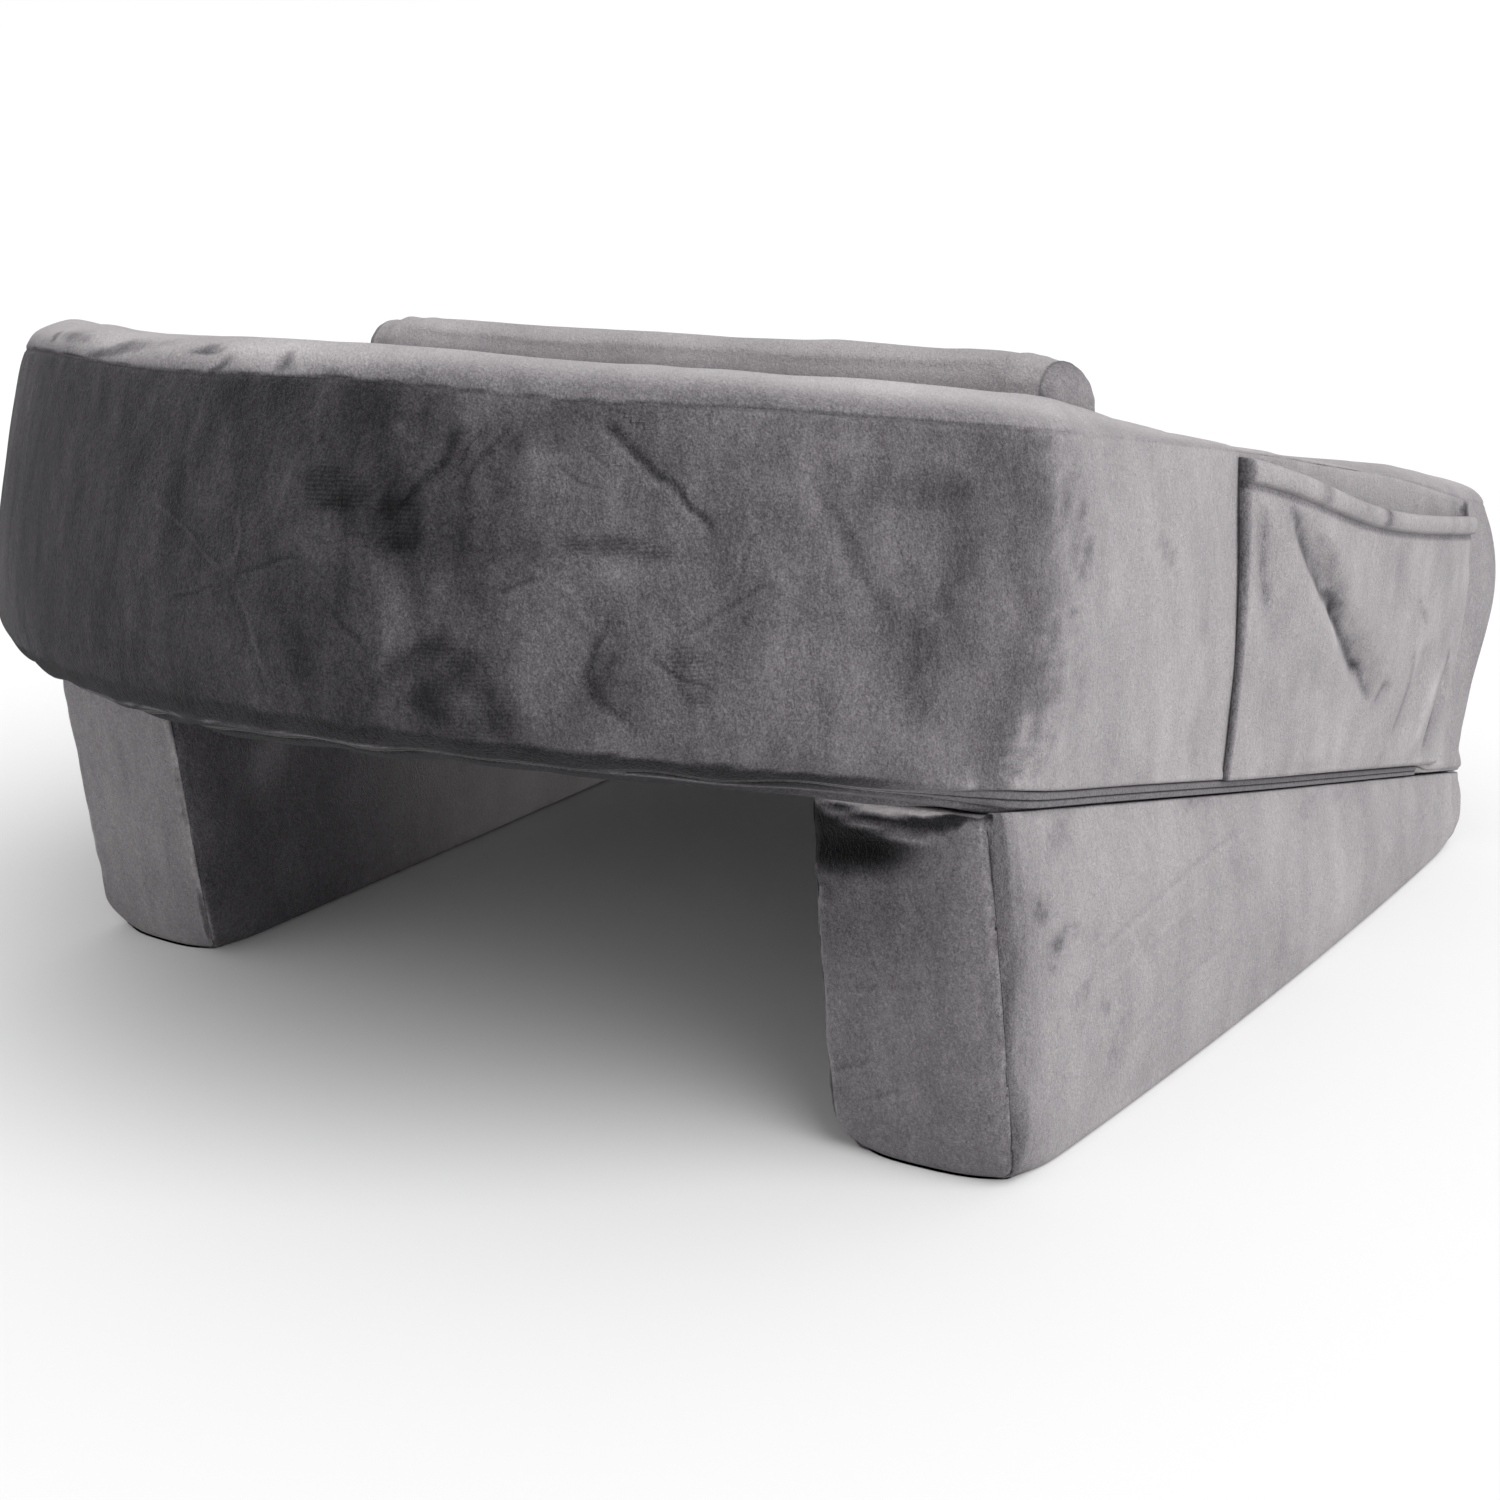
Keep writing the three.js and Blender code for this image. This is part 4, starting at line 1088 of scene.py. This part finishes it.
def make_pocket():
    """The patch pocket: one sheet on the right side with a hemmed, gaping mouth, and its folds."""
    g = POCKET
    below = np.linspace(0, g.hem_start, g.rows - g.hem_rows)
    u, v = np.meshgrid(
        np.linspace(0, 1, g.columns),
        np.concatenate([below, np.linspace(g.hem_start, 1, g.hem_rows + 1)[1:]]), indexing="ij",
    )
    sag = lerp(g.drop_front, g.drop_back, u) + g.drop_middle * np.sin(np.pi * u) ** 1.3
    rise = lerp(g.bottom_rise, PAD.thickness - sag, v)
    y = lerp(lerp(g.front_bottom_y, g.back_bottom_y, u), lerp(g.front_top_y, g.back_top_y, u), v)
    edge = Sizes(x=np.full_like(y, PAD.half_width), y=y, nx=np.ones_like(y), ny=np.zeros_like(y))

    # How far the cloth stands off the pad: its gaping mouth, its looseness, and its folds below the hem.
    shape = np.array([1, g.shape])
    at = np.stack([u.ravel(), v.ravel()], axis=1) * shape
    creases = [(line * shape, width, height) for line, width, height in POCKET_FOLDS]
    below_hem = 1 - smooth(g.hem_start - 0.07, g.hem_start - 0.005, v)
    from_edge = smooth(0, 0.045, u) * smooth(0, 0.03, 1 - u) * smooth(0, 0.05, v)
    gape = g.gape * v ** 1.6 * (4 * u * (1 - u)) ** 0.45
    loose = 3.0 * from_edge * np.sqrt(v) * smooth(0, 0.2, u) * smooth(0, 0.15, 1 - u)
    folds = folded(at, creases, 0.15, 0.25).reshape(u.shape) * below_hem * from_edge
    inner = swell(edge, rise) + GAP + 0.3 + np.maximum(gape + loose + folds, 0)

    # The thickness of the sheet, thin at its sewn edges and round in its hem.
    part = np.clip((v - g.hem_start) / (1 - g.hem_start), 0, 1)
    hem = g.hem * np.sqrt(np.clip(1 - (2 * part - 1) ** 2, 0, 1)) * (v > g.hem_start)
    groove = -0.8 * bell(v - g.hem_start + 0.004, 0.007)
    thick = g.sheet * np.sqrt(np.clip(np.minimum(u, 1 - u) / 0.008, 0.15, 1)) + hem + groove
    layers = [pad_point(edge, rise, out).reshape(-1, 3) for out in (inner, inner + thick)]
    columns, rows = rise.shape
    index = np.arange(2 * columns * rows).reshape(2, columns, rows)
    quads = np.stack([index[:, :-1, :-1], index[:, 1:, :-1], index[:, 1:, 1:], index[:, :-1, 1:]], axis=-1)
    faces = quads[1].reshape(-1, 4).tolist() + quads[0].reshape(-1, 4)[:, ::-1].tolist()
    inside, outside = (
        np.concatenate([layer[:, 0], layer[-1, 1:], layer[-2::-1, -1], layer[0, -2:0:-1]]) for layer in index
    )
    rim = [inside, np.roll(inside, -1), np.roll(outside, -1), outside]
    pocket = new_object("pocket_sheet", np.concatenate(layers), faces + np.stack(rim, axis=1).tolist())

    # The lie of the pile on the outside, with painted shade and sheen along the folds, a painted shadow under
    # the hem and along the sewn front edge, and two darker bands across the hem.
    points = layers[1]
    tone = TONE.pocket + 0.014 * ripple(points, 24, 51) + 0.016 * ripple(points * [1, 1, 0.4], 7, 52)
    shades = [(line, width, 0.02 * min(height, 0.4)) for line, width, height in creases]
    drawn_shades = [(line, width / g.width, added) for line, width, added in POCKET_SHADES]
    rough = 1 + 0.3 * ripple(points, 5, 60)
    marks = folded(at, shades, 0.15, 0.25, narrower=0.8)
    marks += folded(at + 0.007 * stray(points, 8, 53), drawn_shades, 0.15, 0.2) * rough
    tone = tone.reshape(u.shape) + marks.reshape(u.shape) * below_hem
    # Painted shadow under the hem and along the sewn front edge.
    tone -= 0.2 * bell(v - g.hem_start + 0.008, 0.010) + 0.3 * (1 - smooth(0, 0.012, u))
    on_hem = smooth(g.hem_start, g.hem_start + 0.02, v)
    tone -= 0.16 * (bell(u - 0.44, 0.015) + 0.7 * bell(u - 0.2, 0.02)) * on_hem
    set_pile(pocket, np.concatenate([np.full(tone.size, TONE.pocket_back), tone.ravel()]))
    return pocket


# The zip


def make_zip():
    """The closed zip in the channel of the lower seam: two tapes that meet over the coil."""
    z = ZIP
    middle = z.channel_height / 2
    half = z.width / 2
    back = z.channel_depth - GAP
    face = back - z.thickness
    # Half of the section, from the tape's back edge to the line where the tapes meet.
    outline = np.array([
        (half, back), (half, face + 0.5), (half - 0.3, face + 0.12), (half - 0.8, face),
        (1.7, face + 0.06), (1.1, face - 0.08), (0.6, face - 0.1), (0.3, face + 0.05), (0.1, face + z.groove),
    ])
    across, depth = np.concatenate([outline * [-1, 1], outline[::-1]]).T
    chosen = np.where(PLAN.x > 0, PLAN.y < z.side_end_y, PLAN.y < z.left_end_y)
    start = int(np.argmax(chosen & ~np.roll(chosen, 1)))
    order = (start + np.arange(int(chosen.sum()))) % len(chosen)
    line = np.stack([PLAN.x, PLAN.y], axis=1)[order]
    fine = resample(line, 5 * len(line))
    tangent = np.gradient(fine, axis=0)
    tangent /= np.linalg.norm(tangent, axis=1)[:, None]
    plan = Sizes(x=fine[:, 0], y=fine[:, 1], nx=tangent[:, 1], ny=-tangent[:, 0])
    scale = channel_height(plan) / z.channel_height
    rings = [channel_point(plan, (middle + far) * scale, deep) for far, deep in zip(across, depth)]
    grid = np.stack(rings, axis=1)
    columns, count = grid.shape[:2]
    faces = [quad[::-1] for quad in wall_faces(columns, count)]
    ends = np.arange(columns * count).reshape(columns, count)
    faces += [tuple(ends[0].tolist()), tuple(ends[-1, ::-1].tolist())]
    made = new_object("zip_closed", grid.reshape(-1, 3), faces)
    # Painted shade on the zip along the front, where it faces down under the pad's edge.
    on_side = smooth(-62, -30, plan.y) * (plan.x > 0)
    tone = TONE.tape - 0.24 * bell(across, 0.35)
    tone = lerp(0.2, 1, on_side)[:, None] * tone + 0.04 * (1 - on_side)[:, None]
    set_pile(made, tone.ravel())
    return made


# Materials


# What a grey is multiplied by, where it is dark and where it is light.
DARK_TINT = np.array((1.03, 0.965, 1.11))
LIGHT_TINT = np.array((1.04, 0.984, 1.002))


def linear(tone):
    """The linear strength of a grey that looks that light, from 0 to 1."""
    return ((tone + 0.055) / 1.055) ** 2.4


class Shader:
    """A material's nodes, with short ways to make and join them."""

    def __init__(self, name):
        self.material = bpy.data.materials.new(name)
        self.material.use_nodes = True
        self.nodes = self.material.node_tree.nodes
        self.links = self.material.node_tree.links
        self.surface = self.nodes["Principled BSDF"].inputs
        self.place = self.nodes.new("ShaderNodeTexCoord").outputs["Object"]

    def node(self, kind, **inputs):
        """A new node, with numbers set and fields joined by its inputs' names."""
        made = self.nodes.new("ShaderNode" + kind)
        for name, value in inputs.items():
            self.join(value, made.inputs[name])
        return made

    def join(self, value, socket):
        if isinstance(value, bpy.types.NodeSocket):
            self.links.new(value, socket)
        else:
            socket.default_value = value

    def pile(self, name):
        """The first two numbers of a vector that the mesh carries."""
        source = self.nodes.new("ShaderNodeAttribute")
        source.attribute_name = name
        split = self.node("SeparateXYZ", Vector=source.outputs["Vector"])
        return split.outputs["X"], split.outputs["Y"]

    def math(self, operation, *values):
        made = self.nodes.new("ShaderNodeMath")
        made.operation = operation
        for socket, value in zip(made.inputs, values):
            self.join(value, socket)
        return made.outputs["Value"]

    def bell(self, value, middle, width):
        off = self.math("MULTIPLY_ADD", value, 1 / width, -middle / width)
        return self.math("EXPONENT", self.math("MULTIPLY", self.math("MULTIPLY", off, off), -1))

    def noise(self, scale, detail, rough, where, distortion=0.0):
        """Noise from about -1 to 1."""
        made = self.node(
            "TexNoise", Scale=scale, Detail=detail, Roughness=rough, Distortion=distortion, Vector=where
        )
        return self.math("MULTIPLY_ADD", made.outputs["Fac"], 4, -2)

    def add(self, total, *parts):
        """The total with each field added in its amount."""
        for field, amount in parts:
            total = self.math("MULTIPLY_ADD", field, amount, total)
        return total

    def colour(self, tone):
        """Turns a tone into the grey of that lightness, cooler where it is dark."""
        ramp = self.node("ValToRGB", Fac=tone)
        elements = ramp.color_ramp.elements
        steps = 12
        while len(elements) < steps:
            elements.new(0.5)
        for i, element in enumerate(elements):
            element.position = i / (steps - 1)
            tint = lerp(DARK_TINT, LIGHT_TINT, min(1, 1.4 * element.position))
            element.color = (*(linear(element.position) * tint), 1)
        self.links.new(ramp.outputs["Color"], self.surface["Base Color"])

    def bump(self, height, distance, strength):
        made = self.node("Bump", Strength=strength, Distance=distance, Height=height)
        self.links.new(made.outputs["Normal"], self.surface["Normal"])


def velvet_material():
    """Short plush pile, whose grey follows its lie and the painted light and shade, with uneven tufts, fine
    fibres and a soft sheen.
    """
    velvet = Shader("plush_velvet")
    velvet.surface["Roughness"].default_value = 0.95
    velvet.surface["Specular IOR Level"].default_value = 0.08
    velvet.surface["Sheen Weight"].default_value = 0.12
    velvet.surface["Sheen Roughness"].default_value = 0.4
    velvet.surface["Sheen Tint"].default_value = (0.9, 0.88, 0.92, 1)
    tone, ribs = velvet.pile("pile")
    away, strength = velvet.pile("crease")
    # Along creases and seams: a dip in the grey with a small rise beside it, scaled by strength; in creases
    # it is painted shade and highlight.
    crease = velvet.math("MULTIPLY_ADD", velvet.bell(away, -1.9, 1), -0.4, velvet.bell(away, 0, 1))
    crease = velvet.math("MULTIPLY", crease, strength)

    lean = velvet.node("Mapping", Vector=velvet.place, Scale=(1, 1, 0.55), Rotation=(0.35, 0.25, 0))
    slanted = lean.outputs["Vector"]
    brushed = velvet.noise(60, 6, 0.66, slanted, distortion=0.9)
    tufts = velvet.noise(780, 3, 0.65, slanted, distortion=0.8)
    fibres = velvet.noise(1600, 3, 0.7, velvet.place)
    knit = velvet.node("TexWave", Scale=240, Distortion=3, Detail=1, Vector=velvet.place)
    knit.bands_direction = "Z"
    knit = velvet.math("MULTIPLY", velvet.math("SUBTRACT", knit.outputs["Fac"], 0.5), ribs)

    liveliness = velvet.math("MULTIPLY_ADD", velvet.bell(tone, 0.38, 0.27), 0.8, 0.55)
    uneven = velvet.add(velvet.math("MULTIPLY", brushed, 0.036), (tufts, 0.05), (fibres, 0.085), (knit, 0.04))
    velvet.colour(velvet.math("MULTIPLY_ADD", uneven, liveliness, velvet.math("ADD", tone, crease)))
    height = velvet.add(velvet.math("MULTIPLY", tufts, 0.45), (fibres, 0.3), (crease, 3), (knit, 0.4))
    velvet.bump(height, 0.0009, 0.8)
    return velvet.material


def tape_material():
    """Woven zip tape: fine ribs, darker where the two tapes meet."""
    tape = Shader("zip_tape")
    tape.surface["Roughness"].default_value = 0.75
    tape.surface["Specular IOR Level"].default_value = 0.2
    tape.surface["Sheen Weight"].default_value = 0.15
    tone, _ = tape.pile("pile")
    cells = tape.node("TexVoronoi", Scale=1100, Vector=tape.place)
    weave = tape.math("SUBTRACT", 0.45, cells.outputs["Distance"])
    tape.colour(tape.add(tone, (weave, 0.12), (tape.noise(150, 3, 0.5, tape.place), 0.02)))
    tape.bump(weave, 0.0004, 0.5)
    return tape.material


# The scene


def make_camera():
    """The camera of the photograph, whose frame is square."""
    heading, pitch, roll = np.radians((CAMERA.heading, CAMERA.pitch, CAMERA.roll)).tolist()
    forward = Vector((-math.sin(heading) * math.cos(pitch), math.cos(heading) * math.cos(pitch),
                      -math.sin(pitch)))
    level = Vector((math.cos(heading), math.sin(heading), 0))
    upright = level.cross(forward)
    right = math.cos(roll) * level + math.sin(roll) * upright
    up = -math.sin(roll) * level + math.cos(roll) * upright
    camera = link("camera", bpy.data.cameras.new("camera"))
    camera.data.sensor_width = CAMERA.sensor
    camera.data.lens = CAMERA.lens
    camera.data.clip_start = 0.05
    camera.data.clip_end = 50
    turn = Matrix((right, up, -forward)).transposed().to_4x4()
    camera.matrix_world = Matrix.Translation(Vector(place(CAMERA.eye).tolist())) @ turn
    bpy.context.scene.camera = camera


def make_stage():
    """A plain pale floor, a pale surround and one large soft light from the upper right."""
    mesh = bpy.data.meshes.new("floor")
    corners = [(x * FLOOR.half, y * FLOOR.half, 0) for x, y in ((-1, -1), (1, -1), (1, 1), (-1, 1))]
    mesh.from_pydata(corners, [], [(0, 1, 2, 3)])
    link("floor", mesh)
    material = bpy.data.materials.new("pale_floor")
    material.use_nodes = True
    shader = material.node_tree.nodes["Principled BSDF"]
    shader.inputs["Base Color"].default_value = (FLOOR.grey, FLOOR.grey, FLOOR.grey, 1)
    shader.inputs["Roughness"].default_value = 1.0
    shader.inputs["Specular IOR Level"].default_value = 0.0
    mesh.materials.append(material)

    world = bpy.data.worlds.new("studio")
    bpy.context.scene.world = world
    world.use_nodes = True
    nodes, links = world.node_tree.nodes, world.node_tree.links
    background = nodes["Background"]
    background.inputs["Color"].default_value = (1, 1, 1, 1)
    strength = nodes.new("ShaderNodeMapRange")
    strength.inputs["To Min"].default_value = LIGHT.surround
    strength.inputs["To Max"].default_value = 1.0
    links.new(nodes.new("ShaderNodeLightPath").outputs["Is Camera Ray"], strength.inputs["Value"])
    links.new(strength.outputs["Result"], background.inputs["Strength"])

    azimuth, elevation = math.radians(LIGHT.azimuth), math.radians(LIGHT.elevation)
    back = Vector((math.sin(azimuth) * math.cos(elevation), -math.cos(azimuth) * math.cos(elevation),
                   math.sin(elevation)))
    light = bpy.data.lights.new("soft_sun", "SUN")
    light.energy = LIGHT.strength
    light.angle = math.radians(LIGHT.spread)
    link("soft_sun", light).rotation_euler = back.to_track_quat("Z", "Y").to_euler()
    bpy.context.scene.view_settings.view_transform = "Standard"


make_camera()
velvet, tape = velvet_material(), tape_material()
pieces = {
    "leg_left": make_leg("leg_left_cushion", -1),
    "leg_right": make_leg("leg_right_cushion", 1),
    "pad": make_pad(),
    "head_roll": make_roll(),
    "side_pocket": make_pocket(),
    "zip": make_zip(),
}
for node, piece in pieces.items():
    piece.data.materials.append(tape if node == "zip" else velvet)
    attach(piece, "root")
    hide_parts(node)

make_stage()
